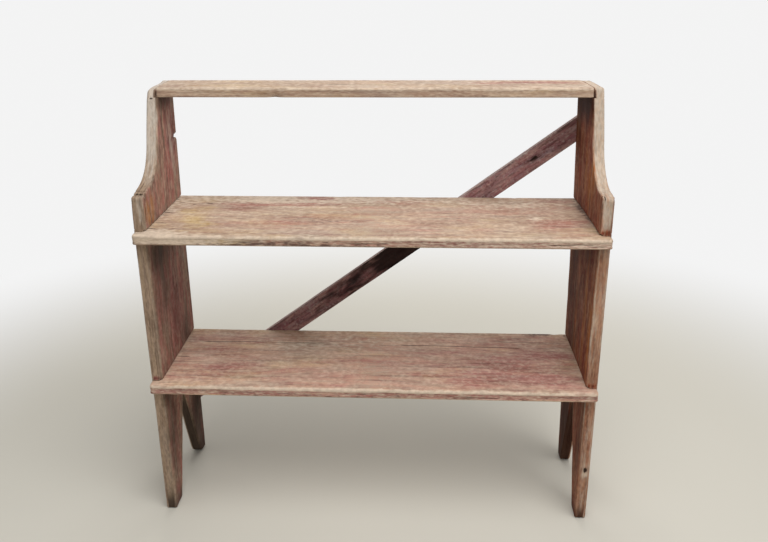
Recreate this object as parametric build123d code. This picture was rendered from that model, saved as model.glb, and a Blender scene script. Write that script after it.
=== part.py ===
from build123d import *
import os
from math import atan2, cos, sin

# Step-back bucket bench in nailed pine boards: two end boards, three shelves, a diagonal back brace
# and the cut nails that hold them. Millimetres, X along the shelves, +Y to the back, +Z up.
# The origin is on the floor, at the middle of the bench's outer box.

# Overall sizes
bench_width = 1000.0        # over the outer faces of the end boards
bottom_shelf_height = 349.0     # floor to the top face of the bottom shelf
lower_bay = 333.0           # clear height between the bottom and middle shelves
upper_bay = 254.0           # clear height between the middle and top shelves

# End boards
end_thickness = 26.0
end_depth = 277.0           # full plank width, back edge to front edge
end_top_depth = 112.0       # plank width left at the very top, above the cove
shoulder_rise = 74.0        # middle shelf top to the shoulder, where the cove starts
cove_depth = 164.0          # back edge to the corner that the cove rounds off
cove_rise = 20.0            # shoulder to that corner
cove_radius = 100.0
shoulder_radius = 5.0
top_corner_radius = 6.0
end_arris = 3.0             # wear on the long edges of the end boards

# Legs, left by a V cut out of the foot of each end board
front_foot = 48.0
rear_foot = 38.0
notch_gap = 65.0            # wood left between the tip of the V and the bottom shelf
notch_setback = 138.0       # back edge to the tip of the V
notch_tip_radius = 6.0
toe_radius = 9.0            # wear at the corners of the feet

# Shelves
shelf_thickness = 22.0      # middle and bottom shelves
shelf_lip = 28.0            # how far these shelves stand forward of the end boards
horn_radius = 9.0           # worn outer corners of the lip
lip_arris = 4.0             # worn long edges of the lip
housing_depth = 6.0         # shelf ends let into the end boards
housing_gap = 0.2           # play above a shelf in its housing
top_shelf_thickness = 21.0
top_shelf_depth = 115.0
top_shelf_arris = 3.5
rabbet_depth = 5.0          # top shelf ends let into the tops of the end boards

# Diagonal brace across the back
brace_width = 48.0
brace_thickness = 18.0
brace_low_height = 168.0    # floor to its middle line on the left end board
brace_high_drop = 93.0      # top of the bench to its middle line on the right end board
brace_end_inset = 3.0       # plumb-cut ends, short of the outer faces
brace_arris = 1.5

# Cut nails
nail_length = 63.0          # through an end board into a shelf
brace_nail_length = 50.0    # through the brace into the board in front of it
nail_width = 4.2            # tapering side of the shank, under the head
nail_point = 2.0            # the same side at the blunt point
nail_breadth = 3.0
nail_head_width = 6.5
nail_head_breadth = 5.0
nail_head_thickness = 1.6
nail_margin = 42.0          # first and last nail from a shelf's housed edges
top_nail_margin = 28.0
shelf_nail_count = 3
top_nail_count = 2
brace_nail_spacing = 30.0

# Worked-out places
middle_shelf_height = bottom_shelf_height + lower_bay + shelf_thickness
bench_height = middle_shelf_height + upper_bay + top_shelf_thickness
half_width = bench_width / 2
inner_x = half_width - end_thickness
back_y = (end_depth + shelf_lip - brace_thickness) / 2
front_y = back_y - end_depth
shoulder_z = middle_shelf_height + shoulder_rise
top_shelf_z = bench_height - top_shelf_thickness
notch_height = bottom_shelf_height - shelf_thickness - notch_gap
end_mid_x = half_width - end_thickness / 2
brace_slope = (bench_height - brace_high_drop - brace_low_height) / (2 * end_mid_x)
brace_angle = atan2(brace_slope, 1)
touch = 0.01                # tolerance for picking edges by where they lie


def round_corners(outline, corners):
    """Outline with the vertex nearest each (x, y) rounded to the radius beside it."""
    for place, radius in corners:
        vertex = outline.vertices().sort_by_distance(place)[0]
        outline = fillet(vertex, radius)
    return outline


def edges_at(shape, axis, place):
    """Edges of a shape whose middles lie at one place along an axis."""
    return shape.edges().filter_by_position(axis, place - touch, place + touch)


def end_outline():
    """Side view of an end board, in (y, z): coved step-back above, bootjack legs below."""
    top_back = (back_y, bench_height)
    top_front = (back_y - end_top_depth, bench_height)
    cove_corner = (back_y - cove_depth, shoulder_z + cove_rise)
    shoulder = (front_y, shoulder_z)
    front_toe = (front_y, 0)
    front_heel = (front_y + front_foot, 0)
    notch_tip = (back_y - notch_setback, notch_height)
    rear_toe = (back_y - rear_foot, 0)
    rear_heel = (back_y, 0)
    corners = [
        top_back, top_front, cove_corner, shoulder,
        front_toe, front_heel, notch_tip, rear_toe, rear_heel,
    ]
    outline = make_face(Polyline(*corners, close=True))
    worn = [
        (top_front, top_corner_radius),
        (cove_corner, cove_radius),
        (shoulder, shoulder_radius),
        (notch_tip, notch_tip_radius),
    ]
    worn += [(toe, toe_radius) for toe in (front_toe, front_heel, rear_toe)]
    return round_corners(outline, worn)


def end_blank():
    """Left end board before its nails: sawn plank with worn edges, shelf housings and a top rabbet."""
    board = extrude(Plane.YZ.offset(-half_width) * end_outline(), end_thickness)
    face_edges = edges_at(board, Axis.X, -half_width) + edges_at(board, Axis.X, -inner_x)
    back_edges = edges_at(board, Axis.Y, back_y)
    board = fillet(face_edges - back_edges, end_arris)
    for shelf_height in (middle_shelf_height, bottom_shelf_height):
        floor_z = shelf_height - shelf_thickness
        board -= end_cut(housing_depth, floor_z, shelf_thickness + housing_gap)
    return board - end_cut(rabbet_depth, top_shelf_z, top_shelf_thickness)


def end_cut(depth, low_z, height):
    """Groove across the inner face of the left end board, from its front edge to its back edge."""
    place = Pos(-inner_x - depth, front_y, low_z)
    return place * Box(depth, end_depth, height, align=(Align.MIN, Align.MIN, Align.MIN))


def deep_shelf(top_z):
    """Middle or bottom shelf: ends notched to fit the housings, front lip left full width as horns."""
    body_length = 2 * (inner_x + housing_depth)
    lip_y = front_y - shelf_lip
    body = Pos(0, front_y) * Rectangle(body_length, end_depth, align=(Align.CENTER, Align.MIN))
    lip = Pos(0, lip_y) * Rectangle(bench_width, shelf_lip, align=(Align.CENTER, Align.MIN))
    horn_tips = [((side * half_width, lip_y), horn_radius) for side in (-1, 1)]
    outline = round_corners(body + lip, horn_tips)
    shelf = extrude(Pos(0, 0, top_z - shelf_thickness) * outline, shelf_thickness)
    rims = edges_at(shelf, Axis.Z, top_z) + edges_at(shelf, Axis.Z, top_z - shelf_thickness)
    lip_edges = rims.filter_by_position(Axis.Y, lip_y, front_y, inclusive=(True, False))
    return fillet(lip_edges, lip_arris)


def narrow_shelf():
    """Top shelf: a plain board lying in the rabbets, its back flush with the end boards."""
    length = 2 * (inner_x + rabbet_depth)
    middle_y = back_y - top_shelf_depth / 2
    shelf = Pos(0, middle_y, top_shelf_z + top_shelf_thickness / 2) * Box(
        length, top_shelf_depth, top_shelf_thickness
    )
    front_edges = edges_at(shelf, Axis.Y, back_y - top_shelf_depth).filter_by(Axis.X)
    return fillet(front_edges, top_shelf_arris)


def brace_height(x):
    """Height of the brace's middle line above the floor at one place along the bench."""
    return brace_low_height + (x + end_mid_x) * brace_slope


def brace_lath():
    """Diagonal brace: a lath against the back edges of the boards, with plumb-cut ends."""
    end_x = half_width - brace_end_inset
    half_rise = brace_width / 2 / cos(brace_angle)
    corners = [
        (x, brace_height(x) + side * half_rise)
        for x, side in ((-end_x, -1), (end_x, -1), (end_x, 1), (-end_x, 1))
    ]
    outline = make_face(Polyline(*corners, close=True))
    lath = extrude(Plane.XZ.offset(-back_y) * outline, -brace_thickness)
    rims = edges_at(lath, Axis.Y, back_y) + edges_at(lath, Axis.Y, back_y + brace_thickness)
    return fillet(rims.sort_by(SortBy.LENGTH)[-4:], brace_arris)


def cut_nail(length):
    """Cut nail with the face of its head at the origin and its tapering shank along -Z."""
    half_head = nail_width / 2
    half_point = nail_point / 2
    side = [
        (-half_head, -nail_head_thickness), (half_head, -nail_head_thickness),
        (half_point, -length), (-half_point, -length),
    ]
    shank_side = Plane.XZ * make_face(Polyline(*side, close=True))
    shank = extrude(shank_side, nail_breadth / 2, both=True)
    head = Box(
        nail_head_width, nail_head_breadth, nail_head_thickness,
        align=(Align.CENTER, Align.CENTER, Align.MAX),
    )
    return head + shank


def spread(low, high, count):
    """Evenly spaced places from low to high, both ends included."""
    return [low + (high - low) * step / (count - 1) for step in range(count)]


def shelf_nails(side, height, low_y, high_y, count):
    """Nails through one end board into a shelf end, heads flush with the board's outer face."""
    places = [(side * half_width, y, height) for y in spread(low_y, high_y, count)]
    return [
        Plane(origin=place, x_dir=(0, 0, 1), z_dir=(side, 0, 0)) * cut_nail(nail_length)
        for place in places
    ]


def brace_nails(places):
    """Nails through the brace at (x, z) places, heads flush with its back face."""
    along = (cos(brace_angle), 0, sin(brace_angle))
    head_y = back_y + brace_thickness
    return [
        Plane(origin=(x, head_y, z), x_dir=along, z_dir=(0, 1, 0)) * cut_nail(brace_nail_length)
        for x, z in places
    ]


def nail_groups():
    """Every nail of the bench, as lists of solids named for the joint that they hold."""
    groups = {}
    low_y, high_y = front_y + nail_margin, back_y - nail_margin
    top_low_y, top_high_y = back_y - end_top_depth + top_nail_margin, back_y - top_nail_margin
    for name, side in (("left", -1), ("right", 1)):
        top_z = bench_height - top_shelf_thickness / 2
        groups[f"{name}_top_shelf_nails"] = shelf_nails(side, top_z, top_low_y, top_high_y, top_nail_count)
        for shelf, height in (("middle", middle_shelf_height), ("bottom", bottom_shelf_height)):
            middle_z = height - shelf_thickness / 2
            nails = shelf_nails(side, middle_z, low_y, high_y, shelf_nail_count)
            groups[f"{name}_{shelf}_shelf_nails"] = nails
        end_x = side * end_mid_x
        heights = [brace_height(end_x) + step * brace_nail_spacing / 2 for step in (-1, 1)]
        groups[f"brace_{name}_end_nails"] = brace_nails([(end_x, z) for z in heights])
    for shelf, height in (("middle", middle_shelf_height), ("bottom", bottom_shelf_height)):
        middle_z = height - shelf_thickness / 2
        cross_x = (middle_z - brace_low_height) / brace_slope - end_mid_x
        places = [(cross_x + step * brace_nail_spacing / 2, middle_z) for step in (-1, 1)]
        groups[f"brace_{shelf}_shelf_nails"] = brace_nails(places)
    return groups


def nailed(board, groups, *joints):
    """Board with a hole in the shape of every nail of the joints that it belongs to."""
    for joint in joints:
        for nail in groups[joint]:
            board -= nail
    return board


def bench():
    """Every piece of the bench, by name."""
    nails = nail_groups()
    left_blank = end_blank()
    right_blank = mirror(left_blank, Plane.YZ)
    pieces = {}
    for name, blank in (("left", left_blank), ("right", right_blank)):
        joints = [f"{name}_{shelf}_shelf_nails" for shelf in ("top", "middle", "bottom")]
        pieces[f"{name}_end_board"] = nailed(blank, nails, *joints, f"brace_{name}_end_nails")
    pieces["top_shelf"] = nailed(narrow_shelf(), nails, "left_top_shelf_nails", "right_top_shelf_nails")
    for shelf, height in (("middle", middle_shelf_height), ("bottom", bottom_shelf_height)):
        joints = [f"{holder}_{shelf}_shelf_nails" for holder in ("left", "right", "brace")]
        pieces[f"{shelf}_shelf"] = nailed(deep_shelf(height), nails, *joints)
    brace_joints = [joint for joint in nails if joint.startswith("brace_")]
    pieces["diagonal_brace"] = nailed(brace_lath(), nails, *brace_joints)
    for joint, group in nails.items():
        pieces[joint] = Compound(children=group)
    return pieces


os.makedirs("parts", exist_ok=True)
for name, piece in bench().items():
    export_step(piece, f"parts/{name}.step")
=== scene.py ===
"""A step-back bucket bench as it looks today: worn red paint on weathered pine boards, and rusted cut nails.

Sizes are millimetres unless a name says otherwise, and become metres where a mesh is made. Every board takes
its outline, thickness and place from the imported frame. A board's own coordinates are u along its grain,
v across it and w out of the face that is turned to the user.
"""

import sys
import logging
from dataclasses import dataclass, field
from enum import Enum, IntEnum
from math import radians
from typing import Any

import bmesh
import bpy
import numpy as np
from bpy.types import ID, Material, Mesh, Node, NodeSocket, NodeTree, Object
from mathutils import Matrix, Vector
from mathutils.geometry import delaunay_2d_cdt
from mathutils.kdtree import KDTree


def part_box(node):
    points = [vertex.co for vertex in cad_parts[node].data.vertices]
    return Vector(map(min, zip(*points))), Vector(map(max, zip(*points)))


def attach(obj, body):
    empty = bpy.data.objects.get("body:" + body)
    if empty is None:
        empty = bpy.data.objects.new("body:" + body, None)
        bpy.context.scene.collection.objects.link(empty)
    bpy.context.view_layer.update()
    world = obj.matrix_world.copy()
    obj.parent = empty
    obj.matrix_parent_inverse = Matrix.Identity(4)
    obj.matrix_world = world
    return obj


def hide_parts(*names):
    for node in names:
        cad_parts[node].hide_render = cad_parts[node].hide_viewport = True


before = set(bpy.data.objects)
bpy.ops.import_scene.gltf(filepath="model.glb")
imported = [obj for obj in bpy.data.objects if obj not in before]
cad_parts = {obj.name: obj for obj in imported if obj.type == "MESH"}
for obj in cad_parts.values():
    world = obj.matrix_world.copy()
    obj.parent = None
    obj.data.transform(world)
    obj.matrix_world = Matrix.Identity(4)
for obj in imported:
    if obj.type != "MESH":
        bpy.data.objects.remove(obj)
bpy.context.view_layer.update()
log = logging.getLogger("bucket_bench")
Array = np.ndarray

RIGHT, BACK, UP = Vector((1, 0, 0)), Vector((0, 1, 0)), Vector((0, 0, 1))
MM = 0.001  # metres in a millimetre
BODY = "root"  # nothing on the bench moves, so it is one body
GRAIN = "grain"  # the attribute that holds a board's own coordinates
WHITE = 0.9  # of the surroundings and the far floor, as the camera sees them

# How finely the boards are drawn
EDGE_STEP = 2.6  # between points of an outline
RINGS = ((0.45, 1), (1.2, 1), (2.4, 2), (4.2, 2), (6.6, 3))  # depth from the edge, every how many points
RING_SLACK = 0.93  # a ring's points stay if they keep this share of its depth
GRID_ALONG = 7.5  # between points of the broad faces, along the grain
GRID_ACROSS = 4.2
GRID_STRAY = 0.2  # how far those points stray, in steps
GRID_CLEAR = 8.8  # the grid keeps this far from the edge
EDGE_ROWS = 8  # strips up the narrow edges
EDGE_FINER = 2.6  # patterns are this much closer up a narrow edge, where the rings stand close
SPLIT_STEP = 5.0  # between points along a split
SPLIT_CLEAR = 0.9  # other points keep this share of a split's width away
CUT_CLEAR = 1.0  # other points keep this far from the sides of a cut
RAIL_END = 0.3  # lines of splits and cuts end this far from the edge
SPLIT_LEAST = 4  # points of the shortest split
MARK_CLEAR = 0.4  # even points of an outline keep this share of a step from marked ones
BITE_STEP = 0.7  # between points of the outline in a narrow bite
STEP_HALF = 0.15  # half the width of the slope that stands for a cut's upright side
SECTION_DEPTH = 5.0  # how far below a shelf's top its outline is taken
LEAST_WOOD = 1.0  # what is always left between the broad faces
SHARP_ANGLE = radians(62)  # edges that turn more than this are drawn sharp
FILL_INSIDE = 1  # tells the triangulation to fill only what the joins enclose
SAME_POINT = 1e-4  # points this close become one
WELD = 1e-7  # metres, for joining the frame's split corners
INSIDE_BATCH = 2000  # places that are tested at a time

# Lengths over which the wear of a board changes
EDGE_WAVE, EDGE_CHIP = 75.0, 9.0
ARRIS_WAVE, RUB_WAVE, FRONT_WAVE = 60.0, 90.0, 40.0
HOLLOW_ALONG, HOLLOW_ACROSS = 330.0, 120.0
GROOVE_ALONG, GROOVE_ACROSS = 240.0, 12.0
WAVER_ALONG, WAVER_ACROSS = 320.0, 80.0
SPLINTER_ALONG, SPLINTER_ACROSS = 34.0, 4.5
SPLIT_ALONG, SPLIT_ACROSS = 17.0, 90.0
HAMMER_MARK, HEIGHT_SLANT = 3.1, 0.7

# How much it changes
CHIP_SHARE = 0.3  # chips in the outline, as a share of its wander
ARRIS_UNEVEN = 0.35  # share by which the rounding of an arris varies
ARRIS_CHIP = 0.3  # what chips add to that rounding
HIDDEN_WORN = 0.4  # hollows of the hidden face, as a share of the show face's
GRAIN_WAVER = 6.0  # how far the grain sways
SPLIT_WAVER = 0.9  # how far a split sways
SPLIT_STAIN, SPLIT_SPREAD = 1.4, 1.7  # how dark a split is, and over how many times its width
TIP_OPEN, TIP_REACH = 0.35, 12.0  # how open a split is at its very tip, and the length that a tip takes
CHECK_STAIN, CHECK_TIP = 0.45, 0.3  # how dark a check is, and the share of its length that a tip takes
EDGE_SWELL = 5.0  # how fast the splinters of a narrow edge grow away from its arrises
RUB_MEAN, RUB_SWING = 0.75, 0.5  # unevenness of what the broad faces lose at their edges
LIP_ARRIS, LIP_WEAR = 2.0, 1.0  # half the passage at a shelf's lip, of its arris and of its wear
FRONT_STRIP = 12.0  # checks lie this close to the front
BOARDS_APART = 613.0  # between the patterns of one board and the next
ARRIS_FADE = (6.0, 2.0)  # from the back or top of an end board, where its arris starts to change and has
RUBBED_FROM, RUBBED_RAGGED = (0.64, 0.8), 0.07  # shares of a shelf's thickness where its front gets pale
BOTTOM_SHADE_FROM = (0.18, 0.06)  # and where painted shade darkens the bottom
LEAN_FROM, LEAN_TO = 0.2, 0.97  # shares of the way to the ends over which the bench leans
RABBET_TIGHT = 0.6  # the rabbet is this much shallower than the top shelf's ends reach
SPLIT_SEED = 71  # all splits sway by one pattern

# Nail heads in the face that they are driven through
HEAD_DEPTH = 0.5  # corners this close to the outermost one belong to a head
HEAD_GAP = 10.0  # heads of one group are at least this far apart
HEAD_DENT = (9.0, 9.0, -0.8)  # half sizes and height
HEAD_STAIN = (20.0, 7.0, 0.3)  # half sizes along and across the grain, and amount


class Face(Enum):
    """The sides of a board, which wear differently."""

    SHOW = "show"  # shelf tops, inner faces of the ends, front of the brace
    HIDDEN = "hidden"  # the other broad face
    EDGE = "edge"  # narrow edges and end grain


class Wear(Enum):
    """What the years left on a board, and the light and shade painted on it. Each is an attribute of its mesh,
    from 0 to 1.
    """

    PAINT = "paint"  # red paint still there
    BARE = "bare"  # rubbed down to pale wood; also painted light at the backs of the deep shelves, and taken off the rear legs and the lips' bottoms for painted shade
    OCHRE = "ochre"  # yellowed stain
    GRIME = "grime"  # dirt, damp and rust; also painted shade under the shelves, along their ends, on the rear legs and along the lips' bottoms
    SPLIT = "split"  # the inside of a crack


class Pattern(IntEnum):
    """What is added to a board's seed for each of its patterns, so that no two are alike."""

    ARRIS = 3
    CHIP = 5
    ARRIS_CHIP = 7
    HOLLOW = 11
    GROOVE = 23
    RUB = 37
    SPLINTER = 53
    WAVER = 61
    FRONT = 91
    HIDDEN_FACE = 400


def hash_values(i: Array, j: Array, seed: int) -> Array:
    """Gives every corner of a lattice a repeatable value.

    Args:
        i: whole numbers, one way.
        j: whole numbers, the other way.
        seed: picks another set of values.

    Returns:
        Values from -1 to 1.
    """
    # Large odd numbers scatter neighbouring corners
    mixed = (i * 374761393 + j * 668265263 + seed * 974634299) & 0xFFFFFFFF
    mixed = ((mixed ^ (mixed >> 13)) * 1274126177) & 0xFFFFFFFF
    return ((mixed ^ (mixed >> 16)) & 0xFFFF) / 32767.5 - 1.0


def drift(along: Array, across: Array, seed: int) -> Array:
    """Smooth noise that changes over about one unit each way.

    Args:
        along: places one way, in units of the pattern.
        across: places the other way.
        seed: picks another pattern.

    Returns:
        Values from -1 to 1.
    """
    i = np.floor(along).astype(np.int64)
    j = np.floor(across).astype(np.int64)
    share_i = along - i
    share_j = across - j
    share_i = share_i * share_i * (3 - 2 * share_i)
    share_j = share_j * share_j * (3 - 2 * share_j)
    near = hash_values(i, j, seed) * (1 - share_i) + hash_values(i + 1, j, seed) * share_i
    far = hash_values(i, j + 1, seed) * (1 - share_i) + hash_values(i + 1, j + 1, seed) * share_i
    return near * (1 - share_j) + far * share_j


def rough(along: Array, across: Array, seed: int) -> Array:
    """Noise with finer noise on it, from about -1 to 1, in units of its broadest pattern."""
    sizes = (1.0, 2.1, 4.3)
    shares = (0.56, 0.29, 0.15)
    return sum(
        share * drift(along * size, across * size, seed + step)
        for step, (size, share) in enumerate(zip(sizes, shares))
    )


def patchy(along: Array, across: Array, seed: int) -> Array:
    """The same noise, from about 0 to 1."""
    return 0.5 + 0.5 * rough(along, across, seed)


def ease(values: Array, low: float, high: float) -> Array:
    """0 below low, 1 above high and smooth between them. low may be the larger one."""
    share = np.clip((values - low) / (high - low), 0, 1)
    return share * share * (3 - 2 * share)


def section_loop(node: str, through: Vector, normal: Vector) -> Array:
    """The longest closed line where a plane cuts a CAD node.

    Args:
        node: name of the CAD node.
        through: a point of the plane, in metres.
        normal: the plane's direction.

    Returns:
        The line's points in order, in metres.
    """
    copy = welded(node)
    cut = bmesh.ops.bisect_plane(
        copy,
        geom=[*copy.verts, *copy.edges, *copy.faces],
        plane_co=through,
        plane_no=normal,
        clear_inner=True,
        clear_outer=True,
    )
    edges = dict.fromkeys(part for part in cut["geom_cut"] if isinstance(part, bmesh.types.BMEdge))
    loops = []
    while edges:
        edge, _ = edges.popitem()
        first, corner = edge.verts
        loop = [first.co[:], corner.co[:]]
        while True:
            edge = next(part for part in corner.link_edges if part in edges)
            del edges[edge]
            corner = edge.other_vert(corner)
            if corner is first:
                break
            loop.append(corner.co[:])
        loops.append(np.array(loop))
    copy.free()
    return max(loops, key=lambda line: run_along(line)[-1])


def welded(node: str) -> bmesh.types.BMesh:
    """A copy of a CAD node's mesh with its split corners joined."""
    copy = bmesh.new()
    copy.from_mesh(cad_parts[node].data)
    bmesh.ops.remove_doubles(copy, verts=copy.verts, dist=WELD)
    return copy


def run_along(loop: Array) -> Array:
    """Lengths along a closed line at each of its points, and its whole length last."""
    sides = np.linalg.norm(np.roll(loop, -1, 0) - loop, axis=1)
    return np.concatenate([[0.0], np.cumsum(sides)])


def respaced(loop: Array, step: float, marks: Array) -> Array:
    """A closed line drawn again with even points, and with points of their own at the marks.

    Args:
        loop: points of the line.
        step: length between points.
        marks: lengths along the line that get a point.

    Returns:
        The new points in order.
    """
    run = run_along(loop)
    closed = np.vstack([loop, loop[:1]])
    places = np.arange(0, run[-1] - step / 2, run[-1] / round(run[-1] / step))
    if len(marks):
        gaps = np.abs(places[:, None] - marks[None, :]).min(1)
        places = np.sort(np.concatenate([places[gaps > step * MARK_CLEAR], marks]))
    return points_at(places, run, closed)


def points_at(places: Array, run: Array, line: Array) -> Array:
    """Points of a line at some lengths along it. run is the length at each of the line's own points."""
    return np.stack([np.interp(places, run, line[:, k]) for k in (0, 1)], 1)


def leftward(ahead: Array) -> Array:
    """Directions square to the given ones, to their left, of length 1."""
    ahead = ahead / np.linalg.norm(ahead, axis=1, keepdims=True)
    return np.stack([-ahead[:, 1], ahead[:, 0]], 1)


def to_sides(places: Array, start: Array, end: Array) -> Array:
    """Distances from places to straight sides, each from its start to its end, matched by broadcasting."""
    side = end - start
    square = np.maximum((side ** 2).sum(-1), 1e-12)
    share = np.clip(((places - start) * side).sum(-1) / square, 0, 1)
    return np.linalg.norm(places - start - share[..., None] * side, axis=-1)


def to_line(places: Array, line: Array) -> Array:
    """Distances from places to the nearest part of an open line."""
    return to_sides(places[:, None], line[None, :-1], line[None, 1:]).min(1)


class Outline:
    """A board's edge seen square on: a closed line, counter-clockwise, and its ways into the board."""

    def __init__(self, points: Array, inward: Array) -> None:
        """Keeps the line and sorts its points, so that the nearest one is found quickly."""
        self.points = points
        self.inward = inward
        self.tree = KDTree(len(points))
        for k, place in enumerate(points.tolist()):
            self.tree.insert((*place, 0.0), k)
        self.tree.balance()

    def nearest(self, places: Array) -> tuple[Array, Array]:
        """Distances from places to the line, and the numbers of the line's points that are nearest."""
        found = np.array([self.tree.find((*place, 0.0))[1] for place in places.tolist()], np.int64)
        before = self.points[found - 1]
        middle = self.points[found]
        after = self.points[(found + 1) % len(self.points)]
        return np.minimum(to_sides(places, before, middle), to_sides(places, middle, after)), found

    def holds(self, places: Array) -> Array:
        """True for the places inside the line."""
        start, end = self.points, np.roll(self.points, -1, 0)
        rise = np.where(end[:, 1] == start[:, 1], 1.0, end[:, 1] - start[:, 1])
        result = np.empty(len(places), bool)
        for low in range(0, len(places), INSIDE_BATCH):
            u, v = places[low:low + INSIDE_BATCH].T[:, :, None]
            spans = (start[:, 1] > v) != (end[:, 1] > v)
            meets = start[:, 0] + (v - start[:, 1]) * (end[:, 0] - start[:, 0]) / rise
            result[low:low + INSIDE_BATCH] = (spans & (u < meets)).sum(1) % 2 == 1
        return result


def linear_colour(code: str) -> tuple[float, float, float, float]:
    """An sRGB hex colour, such as "#b89a84", as linear red, green, blue and alpha."""
    shares = [int(code[k:k + 2], 16) / 255 for k in (1, 3, 5)]
    red, green, blue = (s / 12.92 if s <= 0.04045 else ((s + 0.055) / 1.055) ** 2.4 for s in shares)
    return red, green, blue, 1.0


def add_node(
    tree: NodeTree,
    kind: str,
    settings: dict[str, Any] | None = None,
    inputs: dict[str | int, Any] | None = None,
) -> Node:
    """Adds one node to a tree, with its settings and what feeds it.

    Args:
        tree: the tree that gets the node.
        kind: Blender's name of the node's type, without the ShaderNode in front.
        settings: the node's own properties.
        inputs: for each socket, by name or number, a constant or the output that is linked to it.

    Returns:
        The new node.
    """
    node = tree.nodes.new(f"ShaderNode{kind}")
    for name, value in (settings or {}).items():
        setattr(node, name, value)
    for socket, value in (inputs or {}).items():
        if isinstance(value, NodeSocket):
            tree.links.new(value, node.inputs[socket])
        else:
            node.inputs[socket].default_value = value
    return node


# Sockets of the Mix node for colours, which Blender tells apart only by number
MIX_SHARE, MIX_UNDER, MIX_OVER, MIX_RESULT = 0, 6, 7, 2


def computed(tree: NodeTree, operation: str, *values: Any) -> NodeSocket:
    """Adds one calculation with numbers, which are constants or outputs, and returns its result."""
    return add_node(tree, "Math", {"operation": operation}, dict(enumerate(values))).outputs[0]


def ranged(
    tree: NodeTree,
    value: NodeSocket,
    given: tuple[float, float],
    wanted: tuple[float, float] = (0.0, 1.0),
    form: str = "SMOOTHSTEP",
) -> NodeSocket:
    """Adds a passage from one result to another.

    Args:
        tree: the tree that gets the node.
        value: the output that decides.
        given: its values where the passage starts and ends.
        wanted: the results there.
        form: Blender's name of the passage's form.

    Returns:
        The result.
    """
    inputs = {
        "Value": value, "From Min": given[0], "From Max": given[1], "To Min": wanted[0], "To Max": wanted[1],
    }
    return add_node(tree, "MapRange", {"interpolation_type": form}, inputs).outputs["Result"]


def overlaid(tree: NodeTree, share: NodeSocket, under: Any, over: Any) -> NodeSocket:
    """Adds one colour laid over another by a share. Both are linear colours or outputs."""
    inputs = {MIX_SHARE: share, MIX_UNDER: under, MIX_OVER: over}
    return add_node(tree, "Mix", {"data_type": "RGBA"}, inputs).outputs[MIX_RESULT]


@dataclass(frozen=True)
class Finish:
    """What a surface looks like. Each kind draws its own."""

    name: str

    def material(self) -> Material:
        """Makes the material, or returns it if it is there already."""
        made = bpy.data.materials.get(self.name)
        if made is None:
            made = bpy.data.materials.new(self.name)
            made.use_nodes = True
            tree = made.node_tree
            tree.nodes.clear()
            add_node(tree, "OutputMaterial", {}, {"Surface": self.surface(tree)})
        return made

    def surface(self, tree: NodeTree) -> NodeSocket:
        """Draws the material in its tree and returns the shader's output."""
        raise NotImplementedError


@dataclass(frozen=True)
class Streak:
    """A pattern drawn out along the grain, with the real size of its marks."""

    along: float
    across: float
    detail: float = 4.0
    distortion: float = 0.0


@dataclass(frozen=True)
class Coat:
    """One colour that lies over what is under it where its pattern and wear say.

    It begins to show where its pattern reaches start and is at its strength where that reaches full. Wear
    moves both limits, by as much as gain. A coat with no wear shows where its pattern alone is strong. relief
    is how far it stands up, or sinks, in the bump. tooth is how much more of it lies on the raised grain, or
    in the open grain if it is negative.
    """

    colour: str
    streak: Streak
    start: float
    full: float
    strength: float
    wear: Wear | None = None
    gain: float = 1.0
    relief: float = 0.0
    tooth: float = 0.0


# Values of the ground pattern for the light and dark wood, and for the smoother and rougher wood
WOOD_SPREAD, ROUGH_SPREAD = (0.34, 0.66), (0.3, 0.7)
ROUGHNESS = (0.74, 0.94)
PINE_SHINE = 0.12
MIDDLE = 0.5  # of every noise


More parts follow.
